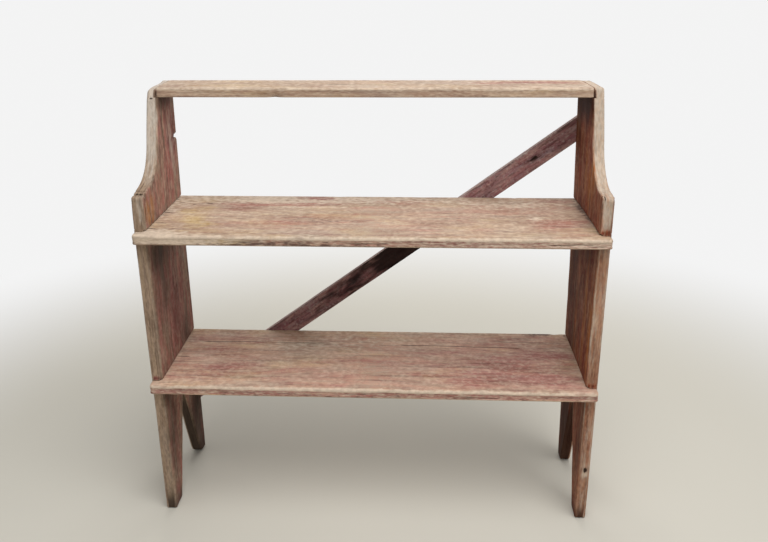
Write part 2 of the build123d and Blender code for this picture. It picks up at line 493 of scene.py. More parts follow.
@dataclass(frozen=True)
class PaintedPine(Finish):
    """Sawn pine that was brushed with red paint and then left to rub and weather.

    The eye gets dull grey-tan wood in short broken streaks, thin red left in the open grain, pale wood on
    every edge, fine dark flecks and no shine. The raised grain of real pine is about 2 mm apart. All its marks
    are drawn coarser, from about 9 mm across on the shelves and ends and 5 mm on the narrow brace, because
    finer ones would not show at the size of a render.
    """

    light_wood: str
    dark_wood: str
    ground: Streak
    tooth: Streak
    coats: tuple[Coat, ...]

    def surface(self, tree: NodeTree) -> NodeSocket:
        """Draws the wood, then each coat over it, and hands the colour, roughness and bump to the shader.

        Args:
            tree: the material's tree.

        Returns:
            The shader's output.
        """
        grain = add_node(tree, "Attribute", {"attribute_name": GRAIN}).outputs["Vector"]
        ground = self.pattern(tree, grain, self.ground)
        raised = self.pattern(tree, grain, self.tooth)
        tooth = computed(tree, "SUBTRACT", raised, MIDDLE)
        woods = linear_colour(self.light_wood), linear_colour(self.dark_wood)
        colour = overlaid(tree, ranged(tree, ground, WOOD_SPREAD), *woods)
        height = computed(tree, "MULTIPLY_ADD", raised, 0.5, ground)
        for coat in self.coats:
            mask = self.mask(tree, grain, tooth, coat)
            colour = overlaid(tree, mask, colour, linear_colour(coat.colour))
            if coat.relief:
                height = computed(tree, "MULTIPLY_ADD", mask, coat.relief, height)
        bump = add_node(tree, "Bump", {}, {"Strength": 1.0, "Distance": MM, "Height": height})
        return add_node(
            tree, "BsdfPrincipled", {},
            {
                "Base Color": colour,
                "Roughness": ranged(tree, ground, ROUGH_SPREAD, ROUGHNESS, "LINEAR"),
                "Normal": bump.outputs["Normal"],
                "Specular IOR Level": PINE_SHINE,
            },
        ).outputs["BSDF"]

    def pattern(self, tree: NodeTree, grain: NodeSocket, streak: Streak) -> NodeSocket:
        """Adds one streaky noise in the board's own millimetres.

        Args:
            tree: the material's tree.
            grain: the board's coordinates.
            streak: size of the marks.

        Returns:
            The noise, from 0 to 1.
        """
        scale = (1 / streak.along, 1 / streak.across, 1 / streak.across)
        scaled = add_node(tree, "VectorMath", {"operation": "MULTIPLY"}, {0: grain, 1: scale})
        return add_node(
            tree, "TexNoise", {},
            {
                "Vector": scaled.outputs["Vector"],
                "Scale": 1.0,
                "Detail": streak.detail,
                "Distortion": streak.distortion,
            },
        ).outputs["Fac"]

    def mask(self, tree: NodeTree, grain: NodeSocket, tooth: NodeSocket, coat: Coat) -> NodeSocket:
        """Adds the mask that says where a coat shows.

        Args:
            tree: the material's tree.
            grain: the board's coordinates.
            tooth: the raised grain, above and below 0.
            coat: the coat.

        Returns:
            The mask, from 0 to the coat's strength.
        """
        marks = self.pattern(tree, grain, coat.streak)
        if coat.tooth:
            marks = computed(tree, "MULTIPLY_ADD", tooth, coat.tooth, marks)
        middle = 0.0
        if coat.wear:
            wear = add_node(tree, "Attribute", {"attribute_name": coat.wear.value})
            marks = computed(tree, "MULTIPLY_ADD", wear.outputs["Fac"], coat.gain, marks)
            middle = coat.gain / 2
        return ranged(tree, marks, (coat.start + middle, coat.full + middle), (0.0, coat.strength))


@dataclass(frozen=True)
class RustedIron(Finish):
    """Iron cut nails, long rusted. The eye gets near-black brown with orange bloom, pitted and dull."""

    name: str = "rusted_cut_iron"
    dark: str = "#33241d"
    bloom: str = "#7a4a2e"
    bloom_spread: tuple[float, float] = (0.4, 0.68)
    pit: float = 1.6  # real pits are finer, and would not show at the size of a render
    pit_depth: float = 0.3
    roughness: float = 0.8

    def surface(self, tree: NodeTree) -> NodeSocket:
        """Draws pits and bloom from one noise, and returns the shader's output."""
        place = add_node(tree, "TexCoord").outputs["Object"]
        pits = add_node(
            tree, "TexNoise", {}, {"Vector": place, "Scale": 1 / (self.pit * MM), "Detail": 3.0},
        ).outputs["Fac"]
        share = ranged(tree, pits, self.bloom_spread, form="LINEAR")
        colour = overlaid(tree, share, linear_colour(self.dark), linear_colour(self.bloom))
        depth = self.pit_depth * MM
        bump = add_node(tree, "Bump", {}, {"Strength": 0.8, "Distance": depth, "Height": pits})
        return add_node(
            tree, "BsdfPrincipled", {},
            {"Base Color": colour, "Roughness": self.roughness, "Normal": bump.outputs["Normal"]},
        ).outputs["BSDF"]


@dataclass(frozen=True)
class Look:
    """How much of each kind of wear a face starts with."""

    paint: float
    bare: float
    ochre: float
    grime: float


@dataclass(frozen=True)
class Patch:
    """A place where one kind of wear is stronger, or weaker if amount is negative.

    u and v are its middle, and length and width its half sizes along and across the grain. On an edge, w and
    height can keep it to a band of the thickness.
    """

    wear: Wear
    face: Face
    u: float
    v: float
    length: float
    width: float
    amount: float
    w: float = 0.0
    height: float = 1e6

    def strength(self, places: Array) -> Array:
        """What it adds at (u, v, w) places."""
        away = (places - (self.u, self.v, self.w)) / (self.length, self.width, self.height)
        return self.amount * np.exp(-(away ** 2).sum(1))


def spots(wear: Wear, face: Face, *sizes: tuple[float, ...]) -> tuple[Patch, ...]:
    """Patches of one kind on one face, each given by the rest of its values in their order."""
    return tuple(Patch(wear, face, *values) for values in sizes)


@dataclass(frozen=True)
class Split:
    """A drying crack along a line of (u, v) points on one face. width is half its opening."""

    path: tuple[tuple[float, float], ...]
    width: float = 0.8
    depth: float = 2.5
    face: Face = Face.SHOW

    def line(self) -> Array:
        """The crack's line with even points and a slight waver."""
        path = np.array(self.path, float)
        run = np.concatenate([[0], np.cumsum(np.linalg.norm(np.diff(path, axis=0), axis=1))])
        places = np.linspace(0, run[-1], max(SPLIT_LEAST, round(run[-1] / SPLIT_STEP)))
        line = points_at(places, run, path)
        line[:, 1] += SPLIT_WAVER * drift(line[:, 0] / SPLIT_ALONG, line[:, 1] / SPLIT_ACROSS, SPLIT_SEED)
        return line

    def rails(self) -> list[Array]:
        """The lines of points that the crack needs: its middle, both sides and the clean wood beside it."""
        line = self.line()
        side = leftward(np.gradient(line, axis=0)) * self.width
        return [line + share * side for share in (0, 1, -1, 2, -2)]

    def openness(self, places: Array, spread: float) -> Array:
        """1 on the crack's line, less toward its tips, and 0 from spread times its width away."""
        line = self.line()
        reach = 2 * spread * self.width
        close = ((places > line.min(0) - reach) & (places < line.max(0) + reach)).all(1)
        near = places[close]
        away = to_line(near, line)
        tip = np.minimum(np.linalg.norm(near - line[0], axis=1), np.linalg.norm(near - line[-1], axis=1))
        result = np.zeros(len(places))
        open_here = np.clip(1 - away / (spread * self.width), 0, 1)
        result[close] = open_here * np.clip(TIP_OPEN + tip / TIP_REACH, 0, 1)
        return result


@dataclass(frozen=True)
class Bite:
    """Wood lost from a board's outline around one place. reach is about half its length."""

    u: float
    v: float
    reach: float
    depth: float


@dataclass(frozen=True)
class Check:
    """A drying crack along a shelf's front edge, from u to u. level is its share of the thickness."""

    start: float
    end: float
    level: float
    depth: float = 1.2

    def openness(self, u: Array, level: float) -> Array:
        """1 along the crack, less toward its tips, and 0 off the strip that is nearest its level."""
        if abs(level - self.level) > 0.5 / EDGE_ROWS:
            return np.zeros(len(u))
        tip = CHECK_TIP * (self.end - self.start)
        return ease(np.minimum(u - self.start, self.end - u), 0.0, tip)


@dataclass(frozen=True)
class Nick:
    """A place on an edge where the arris of one face is rounded off more than elsewhere."""

    u: float
    v: float
    reach: float
    extra: float
    face: Face = Face.SHOW


@dataclass(frozen=True)
class Knot:
    """A hard knot that stands proud of the worn wood around it, or a dent if height is negative."""

    u: float
    v: float
    length: float
    width: float
    height: float
    face: Face = Face.SHOW


@dataclass(frozen=True)
class Axes:
    """Zero point, in metres, and directions of a board's u, v and w."""

    zero: Vector
    along: Vector
    across: Vector
    out: Vector

    @property
    def basis(self) -> Array:
        """The three directions as rows."""
        return np.array([self.along, self.across, self.out])

    def to_board(self, places: Array) -> Array:
        """Places in metres as (u, v, w) in millimetres."""
        return (places - np.array(self.zero)) @ self.basis.T / MM

    def to_bench(self, places: Array) -> Array:
        """(u, v, w) in millimetres as places in metres."""
        return np.array(self.zero) + places @ self.basis * MM


@dataclass(frozen=True)
class Settling:
    """How the old bench has racked: its right end's back leans in, more so higher up, and both tops lean in.

    The leans belong to the heights, and are millimetres at the ends of the bench.
    """

    heights: tuple[float, ...]
    from_x: float
    to_x: float
    front_y: float
    back_y: float
    right_lean: tuple[float, ...] = (0.0, 5.0, 10.0, 18.5)
    left_lean: tuple[float, ...] = (0.0, 0.0, 0.0, 3.5)

    def move(self, places: Array, climb: float = 0.0) -> Array:
        """Places in metres, moved as the bench has settled.

        Args:
            places: the points.
            climb: rise for each unit to the right, of a board that slid along its own length.

        Returns:
            The moved points.
        """
        x, y, z = (places / MM).T
        depth = np.clip((y - self.front_y) / (self.back_y - self.front_y), 0, 1)
        right = np.interp(z, self.heights, self.right_lean) * depth ** 2 * ease(x, self.from_x, self.to_x)
        left = np.interp(z, self.heights, self.left_lean) * ease(-x, self.from_x, self.to_x)
        return np.stack([x + left - right, y, z + climb * (left - right)], 1) * MM


def settling_of_bench() -> Settling:
    """Reads the lean's heights and ends from the frame."""
    low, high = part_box("right_end_board")
    shelves = [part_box(node)[1].z for node in ("bottom_shelf", "middle_shelf", "top_shelf")]
    return Settling(
        heights=tuple(height / MM for height in (low.z, *shelves)),
        from_x=LEAN_FROM * low.x / MM,
        to_x=LEAN_TO * low.x / MM,
        front_y=low.y / MM,
        back_y=high.y / MM,
    )


@dataclass
class Plan:
    """The points of a board's broad faces, with its outline's first, and the triangles between them."""

    outline: Outline
    points: Array
    triangles: Array
    distance: Array = field(init=False)
    nearest: Array = field(init=False)

    def __post_init__(self) -> None:
        """Measures every point's distance from the edge."""
        self.distance, self.nearest = self.outline.nearest(self.points)


@dataclass
class Board:
    """One plank of the bench, rebuilt from its CAD outline with its wear, cracks and old paint."""

    node: str
    slot: str
    finish: PaintedPine
    seed: int
    axes: Axes
    thickness: float
    section: float  # height of the cut that gives the outline
    looks: dict[Face, Look]
    arris: float = 2.0  # rounding of the show face's edges
    hidden_arris: float = 1.2
    rounding: int = 2
    wander: float = 0.7
    splinter: float = 0.6  # depth of the raised grain on the narrow edges
    hollow: float = 0.5
    groove: float = 0.35
    rub: float = 0.35  # how much barer the broad faces are at their edges
    rub_reach: float = 7.0
    patches: tuple[Patch, ...] = ()
    splits: tuple[Split, ...] = ()
    bites: tuple[Bite, ...] = ()
    nicks: tuple[Nick, ...] = ()
    knots: tuple[Knot, ...] = ()
    checks: tuple[Check, ...] = ()
    climb: float = 0.0  # see Settling

    def cuts(self) -> tuple[tuple[float, float, float], ...]:
        """Grooves across the show face, as (low u, high u, depth)."""
        return ()

    def arris_radius(self, points: Array, face: Face) -> Array:
        """Rounding of the arris between a broad face and the edge, at points of the outline."""
        return np.full(len(points), self.arris if face is Face.SHOW else self.hidden_arris)

    def edge_extra(self, places: Array) -> dict[Wear, Array]:
        """Wear that only this kind of board has on its edges, for (u, v, w) places."""
        return {}

    def edge_cracks(self, places: Array, level: float) -> tuple[Array, Array]:
        """Depth and openness of the checks at a strip's (u, v) places, at a share of the thickness."""
        depth, openness = np.zeros((2, len(places)))
        front = places[:, 1] < places[:, 1].min() + FRONT_STRIP
        for check in self.checks:
            along = check.openness(places[:, 0], level) * front
            depth += check.depth * along
            openness = np.maximum(openness, along)
        return depth, openness

    def edge_line(self) -> Outline:
        """Draws the worn outline from the CAD node's own."""
        through = self.axes.zero + self.axes.out * self.section * MM
        loop = self.axes.to_board(section_loop(self.node, through, self.axes.out))[:, :2]
        u, v = loop.T
        if (u * np.roll(v, -1) - v * np.roll(u, -1)).sum() < 0:
            loop = loop[::-1]
        loop = respaced(loop, EDGE_STEP, np.empty(0))
        for _ in range(self.rounding):
            loop = (np.roll(loop, 1, 0) + 2 * loop + np.roll(loop, -1, 0)) / 4
        loop = respaced(loop, EDGE_STEP, self.edge_marks(loop))
        inward = leftward(np.roll(loop, -1, 0) - np.roll(loop, 1, 0))
        u, v = loop.T
        inset = self.wander * patchy(u / EDGE_WAVE, v / EDGE_WAVE, self.seed)
        inset += CHIP_SHARE * self.wander * patchy(u / EDGE_CHIP, v / EDGE_CHIP, self.seed + Pattern.CHIP)
        for bite in self.bites:
            away = np.hypot(u - bite.u, v - bite.v)
            inset += bite.depth * np.exp(-(away / bite.reach) ** 2)
        worn = np.clip(loop + inward * inset[:, None], loop.min(0), loop.max(0))
        return Outline(worn, inward)

    def cut_sides(self) -> list[float]:
        """The u of the lines where the slopes at the sides of the cuts start and end."""
        sides = [side for low, high, _ in self.cuts() for side in (low, high)]
        return [side + half for side in sides for half in (-STEP_HALF, STEP_HALF)]

    def edge_marks(self, loop: Array) -> Array:
        """Lengths along the outline that need a point: both sides of each cut, and all over a narrow bite."""
        run = run_along(loop)
        u, after = loop[:, 0], np.roll(loop[:, 0], -1)
        marks = []
        for level in self.cut_sides():
            for k in np.flatnonzero((u - level) * (after - level) < 0):
                share = (level - u[k]) / (after[k] - u[k])
                marks.append(run[k] + share * (run[k + 1] - run[k]))
        for bite in self.bites:
            if bite.reach < 3 * EDGE_STEP:
                k = np.hypot(u - bite.u, loop[:, 1] - bite.v).argmin()
                marks.extend(run[k] + np.arange(-2 * bite.reach, 2 * bite.reach, BITE_STEP))
        return np.array(sorted(mark for mark in marks if 0 < mark < run[-1]))

    def plan(self, outline: Outline) -> Plan:
        """Lays out the points of the broad faces and joins them.

        Args:
            outline: the worn outline.

        Returns:
            The points and triangles.
        """
        groups = []
        for depth, every in RINGS:
            ring = (outline.points + outline.inward * depth)[::every]
            distance, _ = outline.nearest(ring)
            groups.append(ring[(distance > RING_SLACK * depth) & outline.holds(ring)])
        chance = np.random.default_rng(self.seed)
        low, high = outline.points.min(0), outline.points.max(0)
        u, v = np.meshgrid(np.arange(low[0], high[0], GRID_ALONG), np.arange(low[1], high[1], GRID_ACROSS))
        u[1::2] += GRID_ALONG / 2
        grid = np.stack([u.ravel(), v.ravel()], 1)
        grid += chance.uniform(-GRID_STRAY, GRID_STRAY, grid.shape) * (GRID_ALONG, GRID_ACROSS)
        grid = grid[outline.holds(grid)]
        distance, _ = outline.nearest(grid)
        groups.append(grid[distance > GRID_CLEAR])
        scatter = np.vstack(groups)
        rails = self.rails(low[1], high[1])
        for line, clear in rails:
            scatter = scatter[to_line(scatter, line) > clear]
        corners = [outline.points, scatter]
        count = len(outline.points)
        joins = [(k, (k + 1) % count) for k in range(count)]
        count += len(scatter)
        for line, _ in rails:
            distance, _ = outline.nearest(line)
            kept = outline.holds(line) & (distance > RAIL_END)
            numbers = count + np.cumsum(kept) - 1
            joins += [(a, a + 1) for a in numbers[:-1][kept[:-1] & kept[1:]]]
            corners.append(line[kept])
            count += kept.sum()
        return self.joined(outline, np.vstack(corners), joins)

    def joined(self, outline: Outline, corners: Array, joins: list[tuple[int, int]]) -> Plan:
        """Fills the outline with triangles.

        Args:
            outline: the worn outline.
            corners: the points to use, with the outline's first.
            joins: pairs of points that have a side between them.

        Returns:
            The points and triangles.
        """
        flat = [Vector(place) for place in corners.tolist()]
        sides = [(int(a), int(b)) for a, b in joins]
        points, _, faces, sources, _, _ = delaunay_2d_cdt(flat, sides, [], FILL_INSIDE, SAME_POINT)
        found = {source: k for k, group in enumerate(sources) for source in group}
        rim = [found[k] for k in range(len(outline.points))]
        order = rim + sorted(set(range(len(points))) - set(rim))
        renumber = np.empty(len(points), np.int64)
        renumber[order] = np.arange(len(points))
        places = np.array([point[:] for point in points])[order]
        triangles = renumber[np.array(faces)]
        a, b, c = (places[triangles[:, k]] for k in range(3))
        flipped = (b - a)[:, 0] * (c - a)[:, 1] - (b - a)[:, 1] * (c - a)[:, 0] < 0
        triangles[flipped] = triangles[flipped][:, ::-1]
        return Plan(outline, places, triangles)

    def rails(self, low: float, high: float) -> list[tuple[Array, float]]:
        """Lines of points that splits and cuts need, and how far other points keep from each.

        Args:
            low: the board's lowest v.
            high: its highest v.

        Returns:
            The lines with their clearances.
        """
        lines = [(line, SPLIT_CLEAR * split.width) for split in self.splits for line in split.rails()]
        across = np.arange(low, high + GRID_ACROSS, GRID_ACROSS)
        for level in self.cut_sides():
            lines.append((np.stack([np.full(len(across), level), across], 1), CUT_CLEAR))
        return lines

    def sunk(self, plan: Plan, face: Face) -> Array:
        """How deep a broad face lies below the flat CAD face.

        Args:
            plan: the points of the face.
            face: which broad face.

        Returns:
            A depth for every point.
        """
        u, v = plan.points.T
        rim_u, rim_v = plan.outline.points.T
        seed = self.seed + (0 if face is Face.SHOW else Pattern.HIDDEN_FACE)
        radius = self.arris_radius(plan.outline.points, face)
        wave = rough(rim_u / ARRIS_WAVE, rim_v / ARRIS_WAVE, seed + Pattern.ARRIS)
        chips = rough(rim_u / EDGE_CHIP, rim_v / EDGE_CHIP, seed + Pattern.ARRIS_CHIP)
        radius = radius * (1.0 + ARRIS_UNEVEN * wave)
        radius += ARRIS_CHIP * (1 + chips)
        for nick in self.nicks:
            if nick.face is face:
                away = np.hypot(rim_u - nick.u, rim_v - nick.v)
                radius = radius + nick.extra * np.exp(-(away / nick.reach) ** 2)
        radius = radius[plan.nearest]
        left = np.clip(radius - plan.distance, 0, None)
        depth = radius - np.sqrt(np.maximum(radius ** 2 - left ** 2, 0))
        worn = 1.0 if face is Face.SHOW else HIDDEN_WORN
        depth += worn * self.hollow * patchy(u / HOLLOW_ALONG, v / HOLLOW_ACROSS, seed + Pattern.HOLLOW)
        depth += worn * self.groove * patchy(u / GROOVE_ALONG, v / GROOVE_ACROSS, seed + Pattern.GROOVE)
        for knot in self.knots:
            if knot.face is face:
                away = np.hypot((u - knot.u) / knot.length, (v - knot.v) / knot.width)
                depth -= np.minimum(knot.height * np.exp(-away ** 2), depth)
        for split in self.splits:
            if split.face is face:
                depth += split.depth * split.openness(plan.points, 1.0)
        if face is Face.SHOW:
            for low, high, cut in self.cuts():
                depth += cut * ((u > low) & (u < high))
        return depth

    def face_wear(self, plan: Plan, heights: Array, face: Face) -> dict[Wear, Array]:
        """Every kind of wear at the points of a broad face.

        Args:
            plan: the points of the face.
            heights: their w.
            face: which broad face.

        Returns:
            Values from 0 to 1 for each kind.
        """
        u, v = plan.points.T
        uneven = RUB_MEAN + RUB_SWING * rough(u / RUB_WAVE, v / RUB_WAVE, self.seed + Pattern.RUB)
        rubbed = self.rub * np.exp(-plan.distance / self.rub_reach) * uneven
        places = np.column_stack([plan.points, heights])
        return self.wear_at(places, face, {Wear.BARE: rubbed, Wear.PAINT: -rubbed})

    def wear_at(self, places: Array, face: Face, extra: dict[Wear, Array]) -> dict[Wear, Array]:
        """Every kind of wear at (u, v, w) places of one face.

        Args:
            places: the points.
            face: which face.
            extra: what to add for some kinds.

        Returns:
            Values from 0 to 1 for each kind.
        """
        look = self.looks[face]
        wear = {kind: np.full(len(places), getattr(look, kind.value, 0.0)) for kind in Wear}
        for kind, values in extra.items():
            wear[kind] += values
        for patch in self.patches:
            if patch.face is face:
                wear[patch.wear] += patch.strength(places)
        for split in self.splits:
            if split.face is face:
                wear[Wear.SPLIT] += SPLIT_STAIN * split.openness(places[:, :2], SPLIT_SPREAD)
        return {kind: np.clip(values, 0, 1) for kind, values in wear.items()}

    def build(self, settling: Settling) -> Object:
        """Makes the board's mesh, with its wear as attributes, in place of its CAD node.

        Args:
            settling: how the bench has racked.

        Returns:
            The finished piece.
        """
        outline = self.edge_line()
        plan = self.plan(outline)
        count, rim = len(plan.points), len(outline.points)
        top = self.thickness - self.sunk(plan, Face.SHOW)
        foot = np.minimum(self.sunk(plan, Face.HIDDEN), top - LEAST_WOOD)
        layers = [np.column_stack([plan.points, foot]), np.column_stack([plan.points, top])]
        wears = [self.face_wear(plan, foot, Face.HIDDEN), self.face_wear(plan, top, Face.SHOW)]
        rows = [np.arange(rim)]
        run = run_along(outline.points)[:-1]
        for step in range(1, EDGE_ROWS):
            share = step / EDGE_ROWS
            w = foot[:rim] * (1 - share) + top[:rim] * share
            crack, openness = self.edge_cracks(outline.points, share)
            fibres = patchy(run / SPLINTER_ALONG, w / SPLINTER_ACROSS, self.seed + Pattern.SPLINTER)
            dip = self.splinter * fibres * min(1.0, EDGE_SWELL * share * (1 - share)) + crack
            strip = np.column_stack([outline.points + outline.inward * dip[:, None], w])
            extra = {**self.edge_extra(strip), Wear.SPLIT: CHECK_STAIN * openness}
            wears.append(self.wear_at(strip, Face.EDGE, extra))
            layers.append(strip)
            rows.append(2 * count + (step - 1) * rim + np.arange(rim))
        rows.append(count + np.arange(rim))
        faces = [plan.triangles[:, ::-1], plan.triangles + count]
        for low, high in zip(rows, rows[1:]):
            after_low, after_high = np.roll(low, -1), np.roll(high, -1)
            faces.append(np.column_stack([low, after_low, after_high]))
            faces.append(np.column_stack([low, after_high, high]))
        corners = np.vstack(faces)
        if np.linalg.det(self.axes.basis) < 0:
            corners = corners[:, ::-1]
        places = np.vstack(layers)
        mesh = bpy.data.meshes.new(f"worn_{self.node}")
        moved = settling.move(self.axes.to_bench(places), self.climb)
        mesh.from_pydata(moved.tolist(), [], corners.tolist())
        mesh.shade_smooth()
        mesh.set_sharp_from_angle(angle=SHARP_ANGLE)
        grain = self.grain(plan, places, corners).astype(np.float32)
        mesh.attributes.new(GRAIN, "FLOAT_VECTOR", "CORNER").data.foreach_set("vector", grain.ravel())
        for kind in Wear:
            values = np.concatenate([wear[kind] for wear in wears]).astype(np.float32)
            mesh.attributes.new(kind.value, "FLOAT", "POINT").data.foreach_set("value", values)
        mesh.materials.append(self.finish.material())
        return placed(mesh, self.node)

    def grain(self, plan: Plan, places: Array, corners: Array) -> Array:
        """Coordinates for the finish to draw with. Round the edges they follow the outline.

        Args:
            plan: the points of the broad faces.
            places: (u, v, w) of all points.
            corners: the points of every face, those of the broad faces first.

        Returns:
            A place for each corner of each face.
        """
        u, v, w = places.T
        apart = BOARDS_APART * self.seed
        waver = GRAIN_WAVER * rough(u / WAVER_ALONG, v / WAVER_ACROSS, self.seed + Pattern.WAVER)
        result = np.column_stack([u, v + waver + apart, w])[corners]
        count, rim = len(plan.points), len(plan.outline.points)
        walls = corners[2 * len(plan.triangles):]
        numbers = np.where(walls < 2 * count, walls % count, (walls - 2 * count) % rim)
        run = run_along(plan.outline.points)
        along = run[numbers]
        closing = np.ptp(along, axis=1, keepdims=True) > run[-1] / 2
        along += run[-1] * (closing & (along < run[-1] / 2))
        result[-len(walls):] = np.stack([along, np.full(along.shape, 0.5 * apart), EDGE_FINER * w[walls]], -1)
        return result


def linked(name: str, data: ID) -> Object:
    """Makes an object of some data and puts it in the scene."""
    thing = bpy.data.objects.new(name, data)
    bpy.context.scene.collection.objects.link(thing)
    return thing


def placed(mesh: Mesh, node: str) -> Object:
    """Makes a mesh a piece of the bench.

    Args:
        mesh: the finished mesh, in metres.
        node: the CAD node that it stands for.

    Returns:
        The new piece.
    """
    piece = linked(mesh.name, mesh)
    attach(piece, BODY)
    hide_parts(node)
    return piece


@dataclass
class EndBoard(Board):
    """An upright end: coved front edge above, bootjack legs below, and housings for the shelves."""

    housings: tuple[tuple[float, float, float], ...] = ()
    back_arris: float = 1.2
    top_arris: float = 0.3  # where the top shelf lies against the rabbet
    seam: float = 2.0  # wood worn away above each shelf, which shows as a dark line

    def cuts(self) -> tuple[tuple[float, float, float], ...]:
        """The shelf housings, opened by the seam above each, and the rabbet of the top shelf."""
        return tuple((low, high + self.seam, depth) for low, high, depth in self.housings)

    def arris_radius(self, points: Array, face: Face) -> Array:
        """Sharper along the back edge, which nobody touches, and against the top shelf."""
        radius = super().arris_radius(points, face)
        to_top, to_back = (points.max(0) - points).T
        back = ease(to_back, *ARRIS_FADE)
        radius = radius + (np.minimum(radius, self.back_arris) - radius) * back
        top = ease(to_top, *ARRIS_FADE) * (face is Face.SHOW)
        return radius + (self.top_arris - radius) * top


@dataclass
class Shelf(Board):
    """A shelf with a rubbed front edge."""

    lip: float = 0.0  # v of the line that the worn front edge lies ahead of
    front_arris: float = 5.0
    splintered: float = 0.32  # dirt in the splinters of the front edge
    bottom_shade: float = 0.6  # painted shade along its bottom
    rubbed: float = 0.35  # bare wood gained along its top, and taken off along its bottom as part of the painted shade there
    stripped: float = 0.3  # paint lost along its top

    def arris_radius(self, points: Array, face: Face) -> Array:
        """Well rounded at the top of the front edge and its corners, nearly sharp elsewhere."""
        radius = super().arris_radius(points, face)
        front = ease(points[:, 1], self.lip + LIP_ARRIS, self.lip - LIP_ARRIS) * (face is Face.SHOW)
        return radius + (self.front_arris - radius) * front

    def edge_extra(self, places: Array) -> dict[Wear, Array]:
        """The front edge is rubbed pale at the top and splintered below, and painted shade darkens it along
        the bottom.
        """
        u, v, w = places.T
        front = ease(v, self.lip + LIP_WEAR, self.lip - LIP_WEAR)
        ragged = RUBBED_RAGGED * rough(u / FRONT_WAVE, v, self.seed + Pattern.FRONT)
        high = ease(w / self.thickness + ragged, *RUBBED_FROM)
        low = ease(w / self.thickness, *BOTTOM_SHADE_FROM)
        return {
            Wear.BARE: front * (self.rubbed * high - self.rubbed * low),
            Wear.PAINT: -self.stripped * front * high,
            Wear.GRIME: front * (self.splintered * (1 - high) + self.bottom_shade * low),
        }


@dataclass
class NailGroup:
    """The cut nails of one joint, their heads hammered and pitted."""

    node: str
    slot: str
    finish: RustedIron
    seed: int
    climb: float = 0.0
    bevel: float = 0.5
    dent: float = 0.35

    def build(self, settling: Settling) -> Object:
        """Makes the nails in place of their CAD node.

        Args:
            settling: how the bench has racked.

        Returns:
            The finished piece.
        """
        work = welded(self.node)
        bmesh.ops.dissolve_limit(work, angle_limit=radians(1), verts=work.verts, edges=work.edges)
        bmesh.ops.bevel(
            work, geom=work.edges[:], offset=self.bevel * MM, segments=2, profile=0.6, affect="EDGES",
        )
        bmesh.ops.triangulate(work, faces=work.faces)
        bmesh.ops.subdivide_edges(work, edges=work.edges[:], cuts=1, use_grid_fill=True)
        work.normal_update()
        places = np.array([vert.co[:] for vert in work.verts])
        normals = np.array([vert.normal[:] for vert in work.verts])
        # The noise is flat, so height is worked into both its ways
        u, v = places[:, 0] + places[:, 2], places[:, 1] + HEIGHT_SLANT * places[:, 2]
        u, v = u / (HAMMER_MARK * MM), v / (HAMMER_MARK * MM)
        dents = self.dent * MM * patchy(u, v, self.seed)
        moved = settling.move(places - normals * dents[:, None], self.climb)
        for vert, place in zip(work.verts, moved.tolist()):
            vert.co = place
        bmesh.ops.triangulate(work, faces=work.faces)
        mesh = bpy.data.meshes.new(f"rusted_{self.node}")
        work.to_mesh(mesh)
        work.free()
        mesh.shade_smooth()
        mesh.materials.append(self.finish.material())
        return placed(mesh, self.node)


@dataclass(frozen=True)
class StudioFloor(Finish):
    """Pale grey floor, matt, that runs out into plain white for the camera well away from the bench."""

    name: str = "pale_grey_studio_floor"
    near: str = "#c6c2b7"
    fade: tuple[float, float] = (1.0, 2.1)  # metres from the bench's middle
    radius: float = 9.0

    def surface(self, tree: NodeTree) -> NodeSocket:
        """Draws the matt floor and the white farther off, and returns the shader's output."""
        place = add_node(tree, "TexCoord").outputs["Object"]
        away = add_node(tree, "VectorMath", {"operation": "LENGTH"}, {0: place}).outputs["Value"]
        share = computed(tree, "MULTIPLY", ranged(tree, away, self.fade), seen_directly(tree))
        matt = add_node(tree, "BsdfDiffuse", {}, {"Color": linear_colour(self.near)}).outputs["BSDF"]
        white = add_node(tree, "Emission", {}, {"Strength": WHITE}).outputs["Emission"]
        return add_node(tree, "MixShader", {}, {0: share, 1: matt, 2: white}).outputs["Shader"]

    def build(self) -> None:
        """Lays the floor."""
        work = bmesh.new()
        bmesh.ops.create_circle(work, cap_ends=True, segments=96, radius=self.radius)
        mesh = bpy.data.meshes.new("studio_floor")
        work.to_mesh(mesh)
        work.free()
        mesh.materials.append(self.material())
        floor = linked("studio_floor", mesh)


def seen_directly(tree: NodeTree) -> NodeSocket:
    """1 for rays from the camera, from a mirror or through glass, and 0 for rays that only carry light."""
    path = add_node(tree, "LightPath").outputs
    either = computed(tree, "MAXIMUM", path["Is Camera Ray"], path["Is Glossy Ray"])
    return computed(tree, "MAXIMUM", either, path["Is Transmission Ray"])


@dataclass(frozen=True)
class Lamp:
    """A soft square lamp that faces a point. power is in watts, places and size in metres."""

    name: str
    place: tuple[float, float, float]
    aim: tuple[float, float, float]
    size: float
    power: float

    def build(self) -> None:
        """Hangs the lamp."""
        light = bpy.data.lights.new(self.name, "AREA")
        light.shape = "SQUARE"
        light.size = self.size
        light.energy = self.power
        lamp = linked(self.name, light)
        lamp.visible_camera = False
        lamp.location = self.place
        lamp.rotation_euler = (Vector(self.aim) - Vector(self.place)).to_track_quat("-Z", "Y").to_euler()


